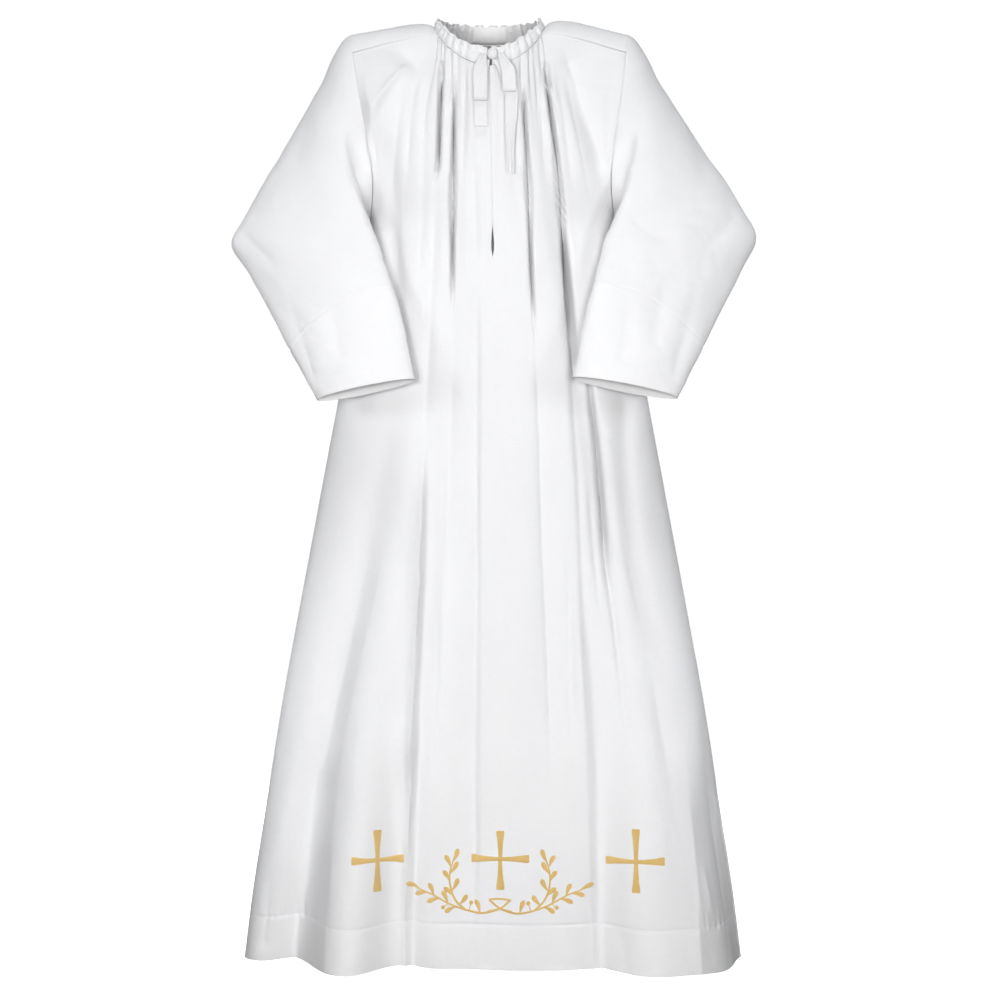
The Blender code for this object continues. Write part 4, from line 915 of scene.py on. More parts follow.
def yoke_grid(hump):
    """A yoke as for the wearer's left, rows from the back seam to the front."""
    across = np.concatenate([np.linspace(0.976, 0.90, 4), np.linspace(0.84, -0.84, 26),
                             np.linspace(-0.90, -0.986, 4)])
    along = 0.002 + 0.998 * np.linspace(0, 1, 40) ** 1.2
    points = yoke_point(along[None, :], across[:, None], hump)
    sunk = crease_depth(YOKE_CREASES, points[..., 0], points[..., 1])
    sunk += YOKE_ROLL * soft_noise(points[..., 0], points[..., 1], 0.02, 77)
    sunk *= ease((1 - np.abs(across[:, None])) / 0.2) * ease(along / 0.1) * ease((1 - along) / 0.1)
    sunk += YOKE_DIP * bell((1 - np.abs(across[:, None])) * YOKE_HALF, YOKE_SEAM)
    return points - grid_normals(points) * sunk[..., None]


yoke_left = leaned(yoke_grid(YOKE_RISE_LEFT))
yoke_right = leaned(mirrored(yoke_grid(YOKE_RISE_RIGHT)))
for name, points in (("yoke_left", yoke_left), ("yoke_right", yoke_right)):
    pieces[name] = add_cloth(name + "_cloth", points, white_cloth, double=np.ones(points.shape[:2]))
print("yoke area", round(areas["yoke_left_cloth"], 4))

# %% [markdown]
# A sleeve is a wide tube that is sewn into a straight armhole and hangs bent, with its cuff turned in.
# Its loops start on the armhole's own edge, so the seam closes, and then pass through a few flattened
# ovals. The cuff's deep hem runs at a slant, so the rows are made to follow its line of stitches.
# %% The sleeves
HEM_LINE_OUTER, HEM_LINE_INNER = 0.550, 0.412  # how far along the hem's stitches lie at either edge
HEM_LINE_SHARE = 0.72  # the share of the rows that lie above the line
SLEEVE_ROLL = 0.0009  # how far a sleeve's wide unevenness stands out
CUFF_PUCKER, CUFF_SPREAD = 0.0009, 0.010  # how deep and wide the cloth puckers beside the stitches
ARMHOLE_DIP, ARMHOLE_WIDE = 0.0004, 0.003  # how far and how wide the armhole's seam sinks in


def armhole_loop():
    """The armhole's edge and places just inside it, from the top of the shoulder down the front to the
    underarm and up the back, and the number of the underarm's point."""
    count = len(ARMHOLE_STEPS)
    steps = np.interp(np.linspace(0, count - 1, 50), range(count), ARMHOLE_STEPS) * underarm_share()
    across = np.linspace(0, -1, 13)[:-1]
    loops = []
    for along, u in ((1.0, 1.0), (0.96, 0.97)):
        loop = [yoke_point(along, across)]
        for side, order in ((FRONT, steps), (BACK, steps[-2::-1])):
            top, foot = -top_point(side, u)[..., 2], foot_at(side, u)
            loop.append(panel_upright(side, u, mix(top, foot, order)))
        loop.append(yoke_point(along, across[:0:-1] * -1))
        loops.append(np.concatenate(loop))
    return *loops, len(across) + len(steps) - 1


def cap_loops(edge, inside, under):
    """The sleeve's first two loops, which go straight on from the armhole's edge."""
    near_underarm = ease((-edge[:, 2] - UNDERARM + 0.13) / 0.08)[:, None]
    in_front = np.arange(len(edge))[:, None] <= under
    under_way = np.where(in_front, np.array(UNDER_WAY_FRONT), np.array(UNDER_WAY_BACK))
    straight = (edge - inside) / np.linalg.norm(edge - inside, axis=1, keepdims=True)
    onward = mix(straight, under_way, near_underarm)
    onward[:, 2] -= CAP_DROP * ease((edge[:, 2] + 0.10) / 0.05)
    onward /= np.linalg.norm(onward, axis=1, keepdims=True)
    return [edge + onward * SEAM_GAP, edge + onward * CAP_REACH]


def station_loop(number, shift, turn, in_front):
    """The sleeve's flattened oval at one station."""
    station = SLEEVE[number]
    outer = np.array(station.outer) - (shift.outer_in, 0, shift.lower)
    inner = np.array(station.inner) - (shift.inner_in, 0, shift.lower)
    before, after = SLEEVE[max(number - 1, 0)], SLEEVE[min(number + 1, len(SLEEVE) - 1)]
    onward = np.array(after.outer) + after.inner - np.array(before.outer) - before.inner
    back = np.cross(outer - inner, onward) * np.array((0, 1, 1))
    back /= np.linalg.norm(back)
    bulge = np.where(in_front, -station.front, station.back) * np.sin(turn)
    return mix(inner, outer, 0.5 + 0.5 * np.cos(turn)[:, None]) + back * bulge[:, None]


def sleeve_loops(shifts):
    """Loops of points: two at the armhole and one for each station, each point's turn round the sleeve,
    and whether it is in front."""
    edge, inside, under = armhole_loop()
    count = len(edge)
    run = run_along(np.append(edge, edge[:1], axis=0))
    front_turn = math.pi * run[:-1] / run[under]
    back_turn = math.pi * (run[count] - run[:-1]) / (run[count] - run[under])
    in_front = np.arange(count) <= under
    turn = np.where(in_front, front_turn, back_turn)
    ovals = [station_loop(number, shift, turn, in_front) for number, shift in enumerate(shifts)]
    return np.array(cap_loops(edge, inside, under) + ovals), turn, in_front


def hem_line_at(turn):
    """How far along the sleeve the hem's stitches run."""
    return mix(HEM_LINE_INNER, HEM_LINE_OUTER, 0.5 + 0.5 * np.cos(turn))


def sleeve_rows():
    line = HEM_LINE_SHARE
    near_line = line + np.array((-0.010, -0.006, -0.003, 0, 0.005, 0.010, 0.018))
    cap = (0, 0.004, 0.009, 0.016, 0.026)
    upper, lower = np.linspace(0.04, line - 0.02, 62), np.linspace(line + 0.035, 1, 24)
    return np.concatenate([cap, upper, near_line, lower])


def sleeve_form(shifts):
    """A sleeve before its creases, how far along each point and the hem's stitches are, and which
    points are in front."""
    loops, turn, in_front = sleeve_loops(shifts)
    places = [0.0, CAP_REACH] + [station.along for station in SLEEVE]
    rows = sleeve_rows()[:, None]
    line = hem_line_at(turn)[None, :]
    upper = np.minimum(rows / HEM_LINE_SHARE, 1) * line
    lower = mix(line, places[-1], np.clip((rows - HEM_LINE_SHARE) / (1 - HEM_LINE_SHARE), 0, 1))
    along = np.where(rows <= HEM_LINE_SHARE, upper, lower)
    points = np.stack([smooth_curve(places, loops[:, k], along[:, k]) for k in range(len(turn))], axis=1)
    return points[:, ::-1], along[:, ::-1], line[:, ::-1], in_front[::-1]


def sleeve_grid(shifts, front_creases):
    """A sleeve as for the wearer's left, in rows from the armhole to the cuff, and how far along each
    point and the hem's stitches are."""
    points, along, line, in_front = sleeve_form(shifts)
    out = grid_normals(points, closed=True)
    x, down = points[..., 0], -points[..., 2]
    sunk = crease_depth(front_creases, x, down) * ease(-out[..., 1] / 0.4)
    sunk += crease_depth(SLEEVE_BACK_CREASES, x, down) * ease(out[..., 1] / 0.4)
    sunk += SLEEVE_ROLL * soft_noise(x, down * 0.8 + in_front * 0.5, 0.028, 55) * ease(along / 0.05)
    sunk += RIPPLE * soft_noise(x, down + in_front * 0.5, RIPPLE_SIZE, 56) * ease(along / 0.05)
    pull = bell(along - line, STITCH_WIDTH)
    beside = bell(along - line, CUFF_SPREAD) - pull
    sunk += STITCH_PULL * pull + CUFF_PUCKER * beside * soft_noise(x, down, 0.007, 57)
    sunk += ARMHOLE_DIP * bell(along, ARMHOLE_WIDE)
    points = points - out * (sunk * ease(along / 0.002))[..., None]
    return points, along, line


left_points, sleeve_along, sleeve_line = sleeve_grid(LEFT_SHIFTS, SLEEVE_FRONT_CREASES)
right_points, _, _ = sleeve_grid(RIGHT_SHIFTS, RIGHT_SLEEVE_CREASES)
sleeve_double = ease((sleeve_along - sleeve_line) / HEM_EDGE + 0.5)
sleeve_left = leaned(left_points)
sleeve_right = leaned(mirrored(right_points))
for name, points, double in (("sleeve_left", sleeve_left, sleeve_double),
                             ("sleeve_right", sleeve_right, sleeve_double[:, ::-1])):
    pieces[name] = add_cloth(name + "_cloth", points, white_cloth, closed=True, double=double)
print("sleeve", sleeve_left.shape, "area", round(areas["sleeve_left_cloth"], 3))

# %% [markdown]
# The neckband is a folded strip with a tape in it: a casing between two lines of stitches, and above
# the upper line a narrow heading that ruffles when the tape is drawn. It is calm beside the slit and
# most ruffled behind. Its gathers follow the panels' and split again into smaller ones.
# %% The neckband
BAND_WALL = 0.0012
CASING_FROM, CASING_TO = 0.06, 0.66  # the casing's two lines of stitches, as shares of the band's height
RUFFLE_HEIGHT, RUFFLE_DIP = 0.0030, 0.0012  # how far the heading stands out, and rises and falls
RUFFLES = 23  # how many times the upper edge rises and falls
PUFF, PUFF_MORE = 0.0009, 0.0008  # how full the casing is
BAND_DIP, BAND_LINE = 0.0006, 0.035  # how far its lines sink in, and how wide, as a share of its height
HEADING_FRONT, HEADING_BACK = 0.0006, 0.0022  # how far the heading's small gathers stand out
NOTCH_FRONT, NOTCH_BACK = 0.0007, 0.0016  # how uneven its upper edge is


def band_point(angle, rise):
    """Points on the neckband. rise: 0 at the neck seam, 1 at its upper edge."""
    height, on_panel, _ = gather_at(angle)
    quiet = calm(angle)
    behind = ease((np.minimum(angle, 360 - angle) - 30) / 40)
    out = height * quiet * mix(GATHER_HEIGHT * on_panel, RUFFLE_HEIGHT, ease(rise))
    small = soft_noise(angle, 0 * angle, 2.6, 12) * 0.6 + soft_noise(angle, 0 * angle, 1.3, 13) * 0.4
    small = small + 0 * rise
    puff = np.sin(math.pi * np.clip((rise - CASING_FROM) / (CASING_TO - CASING_FROM), 0, 1))
    out = out + puff * (PUFF + PUFF_MORE * small * quiet)
    line = sum(bell(rise - place, BAND_LINE) for place in (CASING_FROM, CASING_TO))
    out = out - BAND_DIP * line
    heading = ease((rise - CASING_TO) / 0.25)
    out = out + heading * small * mix(HEADING_FRONT, HEADING_BACK, behind)
    low = ring_point(NECK_SEAM, angle + 0 * rise, out)
    high = ring_point(NECK_TOP, angle + 0 * rise, out)
    points = mix(low, high, rise[..., None])
    lift = (BAND_LIFT + BAND_LIFT_MORE * np.abs(np.sin(np.radians(angle)))) * (1 - rise)
    notch = mix(NOTCH_FRONT, NOTCH_BACK, behind) * soft_noise(angle, 0 * angle + 5, 2.2, 14)
    points[..., 2] += lift + RUFFLE_DIP * rise * np.sin(np.radians(angle * RUFFLES)) + notch * heading
    return leaned(points)


band_angles = np.linspace(NECK_SLIT, 360 - NECK_SLIT, 520)
band_rises = np.concatenate([[1, 0.97, 0.90, 0.82, 0.75], np.linspace(0.70, 0.62, 4),
                             np.linspace(0.55, 0.14, 7), [0.09, 0.06, 0.03, 0.0]])
band_points = band_point(band_angles[None, :], band_rises[:, None])
pieces["neckband"] = add_cloth("neckband_cloth", band_points, white_cloth, wall=BAND_WALL,
                               double=np.ones(band_points.shape[:2]))
print("neckband", band_points.shape, "area", round(areas["neckband_cloth"], 4))

# %% [markdown]
# The tie is a flat twill tape, 20 mm wide, drawn through the band and tied in a small bow. A flat tape
# is modelled directly as a long grid, since cloth simulation would crumple or erase it. It is a little
# higher in the middle than at its edges, and the loops are bands that come back behind themselves.
# %% The tie's tapes
TAPE_WIDTH, TAPE_WALL, TAPE_CURVE = 0.020, 0.0008, 0.0005
TAPE_STEP, TAPE_COLUMNS = 0.0022, 11  # metres between its rows, and points across it
NEARBY = 0.001  # how far ahead and behind a line's direction is measured
TAPE_PINCH, TAPE_ROLL = 0.0006, 0.0004  # how far it folds where it is drawn in, and how uneven it is
# x, down: a place of its middle. width: the share of its width. off: how far it stands off the robe.
# turn: how far it is twisted, in degrees.
TapePlace = namedtuple("TapePlace", "x down width off turn")
LOOP_WIDTHS = (0.40, 0.80, 1, 1, 1, 1, 1, 1, 1, 0.80, 0.40)
LOOP_OFFS = (0.0070, 0.0130, 0.0165, 0.0160, 0.0140, 0.0118, 0.0102, 0.0098, 0.0098, 0.0074, 0.0040)


def loop_places(across, downs):
    """A loop of the bow, which goes down in front and comes back up behind itself."""
    rows = zip(across, downs, LOOP_WIDTHS, LOOP_OFFS)
    return tuple(TapePlace(x, down, width, off, 0) for x, down, width, off in rows)


TIES = {
    "tie_tail_right": (
        TapePlace(-0.0040, 0.0825, 0.50, 0.0045, 0),
        TapePlace(-0.0120, 0.1020, 0.95, 0.0078, 0),
        TapePlace(-0.0140, 0.1450, 1.00, 0.0074, 0),
        TapePlace(-0.0140, 0.1860, 1.00, 0.0070, 0),
    ),
    "tie_tail_left": (
        TapePlace(0.0100, 0.0825, 0.50, 0.0045, 0),
        TapePlace(0.0240, 0.1050, 0.95, 0.0078, 0),
        TapePlace(0.0315, 0.1350, 1.00, 0.0082, 6),
        TapePlace(0.0305, 0.1700, 0.92, 0.0092, 14),
        TapePlace(0.0285, 0.2100, 0.72, 0.0105, 24),
        TapePlace(0.0284, 0.2576, 0.62, 0.0110, 28),
    ),
    "tie_loop_right": loop_places(
        (-0.0080, -0.0125, -0.0140, -0.0140, -0.0140, -0.0140, -0.0140, -0.0140, -0.0140, -0.0125, -0.0080),
        (0.0740, 0.0880, 0.1020, 0.1320, 0.1450, 0.1475, 0.1440, 0.1250, 0.1020, 0.0880, 0.0775),
    ),
    "tie_loop_left": loop_places(
        (0.0160, 0.0220, 0.0270, 0.0285, 0.0285, 0.0285, 0.0285, 0.0285, 0.0270, 0.0220, 0.0160),
        (0.0730, 0.0860, 0.1000, 0.1200, 0.1315, 0.1340, 0.1305, 0.1180, 0.1000, 0.0860, 0.0770),
    ),
}


def front_face(down):
    """y of the middle of the robe's front at a level, on the neckband or on the panel below it."""
    if down < -NECK_SEAM.front_z:
        rise = (NECK_SEAM.front_z + down) / (NECK_SEAM.front_z - NECK_TOP.front_z)
        return NECK_MIDDLE - mix(NECK_SEAM.radius, NECK_TOP.radius, rise)
    return float(panel_at(FRONT, np.array(0.0), np.array(down))[1])


def tape_points(places, seed):
    """A length of tape, in rows across it from its start to its end, and how long it is."""
    middles = np.array([(p.x, front_face(p.down) - p.off, -p.down) for p in places])
    run = run_along(middles)
    at = np.linspace(0, run[-1], 1 + int(round(run[-1] / TAPE_STEP)))
    middle = smooth_curve(run, middles, at)
    way = smooth_curve(run, middles, np.minimum(at + NEARBY, run[-1]))
    way -= smooth_curve(run, middles, np.maximum(at - NEARBY, 0))
    turn = np.radians(smooth_curve(run, [p.turn for p in places], at))
    across = np.stack([np.cos(turn), np.sin(turn), 0 * turn], -1)
    width = smooth_curve(run, [p.width for p in places], at)
    half = TAPE_WIDTH / 2 * width
    out = -np.cross(across, way)
    out /= np.linalg.norm(out, axis=1, keepdims=True)
    side = np.linspace(-1, 1, TAPE_COLUMNS)
    pinch = ease((1 - width) / 0.5)[:, None]
    curve = TAPE_CURVE * (1 - side**2) + TAPE_PINCH * pinch * np.cos(side * 7.5)
    curve = curve + TAPE_ROLL * soft_noise(side * 0.01 + seed, at[:, None], 0.016, seed)
    points = middle[:, None] + across[:, None] * (half[:, None] * side)[..., None]
    return leaned(points + out[:, None] * curve[..., None]), run[-1]


def twill(name, colour, roughness):
    """The tape: fine slanting ridges with a firm woven edge."""
    material, tree, shader = new_material(name, colour, roughness, 0.15)
    ridges = threads(tree, "X", 0.0009, lean=math.radians(38))
    soft = noise(tree, 120, 120)
    amount = weighted(tree, ridges, 0.35, soft, 0.65)
    dark, light = (tuple(min(share * value, 0.95) for value in colour) for share in (0.93, 1.03))
    tinted(tree, shader, amount, dark, light)
    normal = add_bump(tree, shader, soft, 0.0003)
    add_bump(tree, shader, ridges, 0.00010, normal)
    return material


tape_cloth = twill("tape_cloth", (0.79, 0.785, 0.795), 0.8)
tape_lengths = {}
for number, (name, places) in enumerate(TIES.items()):
    points, tape_lengths[name] = tape_points(places, 40 + number)
    pieces[name] = add_cloth(name + "_tape", points, tape_cloth, wall=TAPE_WALL)
print("tape lengths:", {name: round(length, 3) for name, length in tape_lengths.items()})

# %% [markdown]
# The knot is the tape wound once round itself. A soft pillow with two slanting grooves, where the
# wound tape's edges lie, and a fine line between them gives that look with few faces. A tape really
# wound and pulled tight would hide nearly all of itself.
# %% The tie's knot
KNOT_MIDDLE, KNOT_SIZE = (0.0040, -0.0966, -0.0733), (0.0150, 0.0080, 0.0165)
KNOT_RINGS, KNOT_COLUMNS, KNOT_WALL = 34, 56, 0.0004
KNOT_TIP = 0.04  # radians left open at the top and the foot
GROOVES, GROOVE_WIDE, GROOVE_DEEP = (-0.52, 0.50), 0.10, 0.12  # as shares of the knot's half size
FINE_LINE, FINE_WIDE, FINE_DEEP = 0.04, 0.07, 0.035


def knot_points():
    """Rings of points from the top of the knot to its foot."""
    def squared(value, power):
        return np.sign(value) * np.abs(value) ** power

    rise = np.linspace(KNOT_TIP, math.pi - KNOT_TIP, KNOT_RINGS)[:, None]
    turn = np.linspace(0, 2 * math.pi, KNOT_COLUMNS + 1)[None, :-1]
    round_off = np.sin(rise) ** 0.62
    x = round_off * squared(np.sin(turn), 0.75)
    y = -round_off * squared(np.cos(turn), 0.75)
    z = squared(np.cos(rise), 0.7) + 0 * turn
    slant = z * 0.86 + x * 0.5
    groove = sum(bell(slant - place, GROOVE_WIDE) for place in GROOVES)
    shrink = 1 - GROOVE_DEEP * groove - FINE_DEEP * bell(slant - FINE_LINE, FINE_WIDE)
    half = np.array(KNOT_SIZE) / 2
    points = np.stack([x * half[0] * shrink, y * half[1] * shrink, z * half[2] * (1 - 0.03 * groove)], -1)
    return leaned(points + np.array(KNOT_MIDDLE))


knot_grid = knot_points()
pieces["tie_knot"] = add_cloth("tie_knot_tape", knot_grid, tape_cloth, wall=KNOT_WALL, closed=True)
print("knot", knot_grid.shape)

# %% [markdown]
# The label inside the back of the neckband is left blank. It is a smooth woven ribbon, so it gets a
# closer, shinier weave than the cloth, and its two ends are folded under and stitched down.
# %% The label
LABEL_HALF_ANGLE, LABEL_WALL = 19, 0.0006
LABEL_INSET, LABEL_FOLD, LABEL_WAVE = 0.0022, 0.0005, 0.0003  # how far inside the band it lies
label_angles = np.linspace(180 - LABEL_HALF_ANGLE, 180 + LABEL_HALF_ANGLE, 48)
label_rises = np.linspace(0.90, 0.10, 20)
ends = np.minimum(label_angles - label_angles[0], label_angles[-1] - label_angles)
inset = LABEL_INSET - LABEL_FOLD * ease(ends / 2.5) + LABEL_WAVE * np.sin(ends * 0.5)
label_low = ring_point(NECK_SEAM, label_angles, -inset)
label_high = ring_point(NECK_TOP, label_angles, -inset)
label_grid = leaned(mix(label_low[None], label_high[None], label_rises[:, None, None]))


def satin_ribbon(name):
    material, tree, shader = new_material(name, (0.90, 0.90, 0.895), 0.5, 0.25)
    weave = math_node(tree, "MULTIPLY", threads(tree, "X", 0.0004), threads(tree, "Y", 0.0007))
    soft = noise(tree, 200, 60)
    tinted(tree, shader, soft, (0.86, 0.86, 0.855), (0.92, 0.92, 0.915))
    normal = add_bump(tree, shader, soft, 0.0002)
    add_bump(tree, shader, weave, 0.00006, normal)
    return material


label_cloth = satin_ribbon("label_cloth")
pieces["neck_label"] = add_cloth("neck_label_ribbon", label_grid, label_cloth, wall=LABEL_WALL)
print("label area", round(areas["neck_label_ribbon"], 5))

# %% [markdown]
# Stitches are short threads that sink into the cloth at both ends. Each is a small rounded bead, and
# thousands of them fit in one mesh per line. Drawn in the material they would be flat and would shift
# with the UV map, while beads catch the light as real ones do.
# %% Stitches
STITCH_PITCH, STITCH_LENGTH, STITCH_HALF = 0.0030, 0.0024, 0.00032
BEAD_ENDS = ((-1.0, 0.25), (-0.72, 0.8), (-0.25, 1.0), (0.25, 1.0), (0.72, 0.8), (1.0, 0.25))
BEAD_SIDES = 6


def thread_material(name, low, high, roughness):
    """Twisted thread: ridges along each bead."""
    material, tree, shader = new_material(name, low, roughness, 0.3)
    soft = noise(tree, 500, 500)
    tinted(tree, shader, soft, low, high)
    add_bump(tree, shader, threads(tree, "X", 0.0005, lean=0.6), 0.00008)
    return material


white_thread = thread_material("white_thread", (0.84, 0.84, 0.85), (0.92, 0.92, 0.925), 0.6)


def read_at(at, run, values):
    """Triples of values at some places along a run."""
    return np.stack([np.interp(at, run, values[:, k]) for k in range(3)], -1)


def evenly(points, normals, pitch):
    """Points, ways on and ways out at even steps along a line."""
    run = run_along(points)
    at = np.arange(pitch / 2, run[-1] - pitch / 2, pitch)
    place = read_at(at, run, points)
    out = read_at(at, run, normals)
    way = read_at(at + NEARBY, run, points) - read_at(at - NEARBY, run, points)
    way /= np.linalg.norm(way, axis=1, keepdims=True)
    out -= way * (out * way).sum(axis=1, keepdims=True)
    return place, way, out / np.linalg.norm(out, axis=1, keepdims=True)


def bead(place, way, out, length, half):
    """The points of one stitch, ring by ring from its start to its end, and their UV pairs."""
    side = np.cross(way, out)
    points, uvs = [], []
    for step, thick in BEAD_ENDS:
        middle = place + way * step * length / 2 + out * half * (0.75 - 1.1 * step * step)
        for turn in np.linspace(0, 2 * math.pi, BEAD_SIDES + 1)[:-1]:
            spread = side * math.cos(turn) + out * math.sin(turn) * 0.8
            points.append(middle + spread * half * thick)
            uvs.append(((step + 1) * length / 2, turn * half))
    return points, uvs


def bead_faces(first):
    """The faces of the stitch whose first point has that number."""
    faces = []
    for ring in range(len(BEAD_ENDS) - 1):
        start = first + ring * BEAD_SIDES
        for k in range(BEAD_SIDES):
            a, b = start + k, start + (k + 1) % BEAD_SIDES
            faces.append((a, b, b + BEAD_SIDES, a + BEAD_SIDES))
    last = first + (len(BEAD_ENDS) - 1) * BEAD_SIDES
    faces.append(tuple(first + k for k in reversed(range(BEAD_SIDES))))
    faces.append(tuple(last + k for k in range(BEAD_SIDES)))
    return faces


def add_threads(name, points, faces, uvs, material):
    """A piece made of thread, with a UV pair for each point."""
    piece = add_mesh(name, points, faces, material)
    set_uv(piece, [uvs[number] for face in faces for number in face])
    return piece


def add_stitches(name, lines, half=STITCH_HALF):
    """Stitches along several lines of points with their ways out, as one mesh."""
    points, faces, uvs = [], [], []
    for line_points, line_normals in lines:
        for place, way, out in zip(*evenly(line_points, line_normals, STITCH_PITCH)):
            faces += bead_faces(len(points))
            more_points, more_uvs = bead(place, way, out, STITCH_LENGTH, half)
            points += more_points
            uvs += more_uvs
    return add_threads(name, points, faces, uvs, white_thread)


print("each stitch has", len(bead_faces(0)), "faces")

# %% [markdown]
# The deep hems, the cuffs, the shoulders and the neckband's casing are each held by a line of stitches.
# The lines are read off the grids of cloth, so they lie in the dips that were made for them. A curve
# drawn over the finished cloth would have to be fitted again after every change.
# %% The lines of stitches
def line_above(points, height, wobble, seed):
    """A line on a grid at a height above its lower edge, and the way out along it."""
    up = run_up(points)[::-1]
    edge = points[-1, :, 0]
    heights = height + wobble * soft_noise(edge, 0 * edge, 0.02, seed)
    return [np.array([read_at(heights[c], up[:, c], values[::-1, c]) for c in range(len(edge))])
            for values in (points, grid_normals(points))]


def below_top(points, depth, first, last):
    """A line at a depth below the upper edge, from one column to another, and the way out along it."""
    run = run_along(points)
    return [np.array([read_at(depth, run[:, c], values[:, c]) for c in range(first, last)])
            for values in (points, grid_normals(points))]


HEM_WOBBLE, SHOULDER_LINE = 0.0008, 0.0035  # how unsteady the hem's line is; where the shoulder's lies
hem_row = int(np.argmin(np.abs(sleeve_rows() - HEM_LINE_SHARE)))
neck_columns = int(np.searchsorted(panel_columns(), -NECK_SHARE))
lines = {
    "front_hem_stitches": [line_above(front_grid, HEM_DEPTH, HEM_WOBBLE, seed=3)],
    "back_hem_stitches": [line_above(back_grid, HEM_DEPTH, HEM_WOBBLE, seed=4)],
}
for name, grid in (("left_cuff_stitches", sleeve_left), ("right_cuff_stitches", sleeve_right)):
    lines[name] = [(grid[hem_row], grid_normals(grid, closed=True)[hem_row])]
for name, grid in (("front_shoulder_stitches", front_grid), ("back_shoulder_stitches", back_grid)):
    count = grid.shape[1]
    lines[name] = [below_top(grid, SHOULDER_LINE, 1, neck_columns),
                   below_top(grid, SHOULDER_LINE, count - neck_columns, count - 1)]
lines["neckband_stitches"] = []
for rise in (CASING_FROM, CASING_TO):
    place = band_point(band_angles[None, :], np.array([[rise + 0.02], [rise], [rise - 0.02]]))
    lines["neckband_stitches"].append((place[1], grid_normals(place)[1]))
stitches = {name: add_stitches(name, found) for name, found in lines.items()}
print("stitch meshes:", {name: len(piece.data.polygons) for name, piece in stitches.items()})

# %% [markdown]
# The slit's edges are bound by a facing behind them, which shows as two lines of stitches down the
# front that meet below its end. To place them, and the embroidery, a ray is sent straight back from in
# front of the robe, and it tells where it meets the cloth and which way the cloth faces there.
# %% Stitches of the slit's facing
def surface_of(piece):
    mesh = piece.data
    corners = [list(polygon.vertices) for polygon in mesh.polygons]
    return BVHTree.FromPolygons([v.co.copy() for v in mesh.vertices], corners, epsilon=1e-6)


front_surface = surface_of(pieces["body_front"])
HAIR = 0.00003


def onto_front(x, z):
    """(place, way out) where a ray from the front meets the front panel. A ray that slips through
    between two faces is cast again a hair's breadth away."""
    for shift in (0, HAIR, -HAIR):
        place, normal, _, _ = front_surface.ray_cast(Vector((x + shift, -1, z)), Vector((0, 1, 0)))
        if place is not None:
            break
    return place, normal


def front_line(path, spacing=0.002):
    """A line on the front panel along a path of (x, z)."""
    path = np.array(path, float)
    run = run_along(path)
    at = np.linspace(0, run[-1], max(2, int(run[-1] / spacing)))
    found = [onto_front(np.interp(s, run, path[:, 0]), np.interp(s, run, path[:, 1])) for s in at]
    found = [(place, normal) for place, normal in found if place is not None]
    return np.array([place for place, _ in found]), np.array([normal for _, normal in found])


FACING_HALF = 0.00026  # half the thickness of the facing's thread
SLIT_ROW = 20  # a row of the front's grid near the top of the slit
SLIT_X = float(front_grid[SLIT_ROW, middle_column - 1 : middle_column + 1, 0].sum() / 2)
FOOT_RIGHT, FOOT_LEFT = (-0.0160, -0.421), (0.0230, -0.429)
facing_lines = (
    ((SLIT_X - 0.011, -0.098), (-0.0150, -0.20), FOOT_RIGHT),
    ((SLIT_X + 0.026, -0.098), (0.0225, -0.20), FOOT_LEFT),
    (FOOT_RIGHT, (0.0035, -0.427), FOOT_LEFT),
)
stitches["slit_stitches"] = add_stitches("slit_stitches", [front_line(path) for path in facing_lines],
                                         FACING_HALF)
print("slit stitches:", len(stitches["slit_stitches"].data.polygons))

# %% [markdown]
# The embroidery near the hem is gold satin stitch: threads laid side by side across each shape, a
# little raised in its middle. A shape is drawn here as a line with a width at each place, filled with
# a low dome of thread, and laid on the cloth by rays from the front, so it follows the folds. Colour
# painted on the cloth would be simpler, but it would have no height and no gloss of its own.
# %% Satin stitch
DOME = 0.00055  # how far the middle of a shape's thread stands above the cloth
LIFT, EDGE_SINK = 0.00012, 0.0003  # how far its edges do, and how far the outermost threads sink in
SATIN_STEP, SATIN_THIN = 0.0012, 0.00015  # metres between a shape's rows, and its least half width


def gold_thread(name):
    """Satin stitch: fine threads across each shape, with a soft gloss along them."""
    material, tree, shader = new_material(name, (0.80, 0.54, 0.165), 0.42, 0.3)
    threads_across = threads(tree, "X", 0.00042)
    soft = noise(tree, 700, 90)
    amount = weighted(tree, threads_across, 0.4, soft, 0.6)
    tinted(tree, shader, amount, (0.69, 0.445, 0.122), (0.87, 0.61, 0.21))
    normal = add_bump(tree, shader, soft, 0.00015)
    add_bump(tree, shader, threads_across, 0.00016, normal)
    return material


def satin_shape(path, widths):
    """(points, faces, uvs) of one shape. path: places (x, z) on the front. widths: half its width there."""
    path, widths = np.array(path, float), np.array(widths, float)
    run = run_along(path)
    at = np.linspace(0, run[-1], max(4, int(run[-1] / SATIN_STEP)))
    middle = smooth_curve(run, path, at)
    half = np.maximum(smooth_curve(run, widths, at), SATIN_THIN)
    way = np.gradient(middle, axis=0)
    way /= np.linalg.norm(way, axis=1, keepdims=True)
    side = np.stack([way[:, 1], -way[:, 0]], -1)
    across = np.array((-1, -0.92, -0.6, 0.0, 0.6, 0.92, 1.0))
    points, uvs = [], []
    for k in range(len(at)):
        round_end = min(1.0, (k + 0.3) / 2, (len(at) - 0.7 - k) / 2)
        for s in across:
            x, z = middle[k] + side[k] * half[k] * s
            place, normal = onto_front(x, z)
            dome = min(DOME, half[k] * 0.4) * math.sqrt(max(0.0, 1 - s * s)) * round_end
            sink = EDGE_SINK if abs(s) == 1 else 0.0
            points.append(place + normal * (LIFT + dome - sink))
            uvs.append((at[k], half[k] * s))
    faces = []
    wide = len(across)
    for k in range(len(at) - 1):
        for j in range(wide - 1):
            a = k * wide + j
            faces.append((a, a + wide, a + wide + 1, a + 1))
    return points, faces, uvs


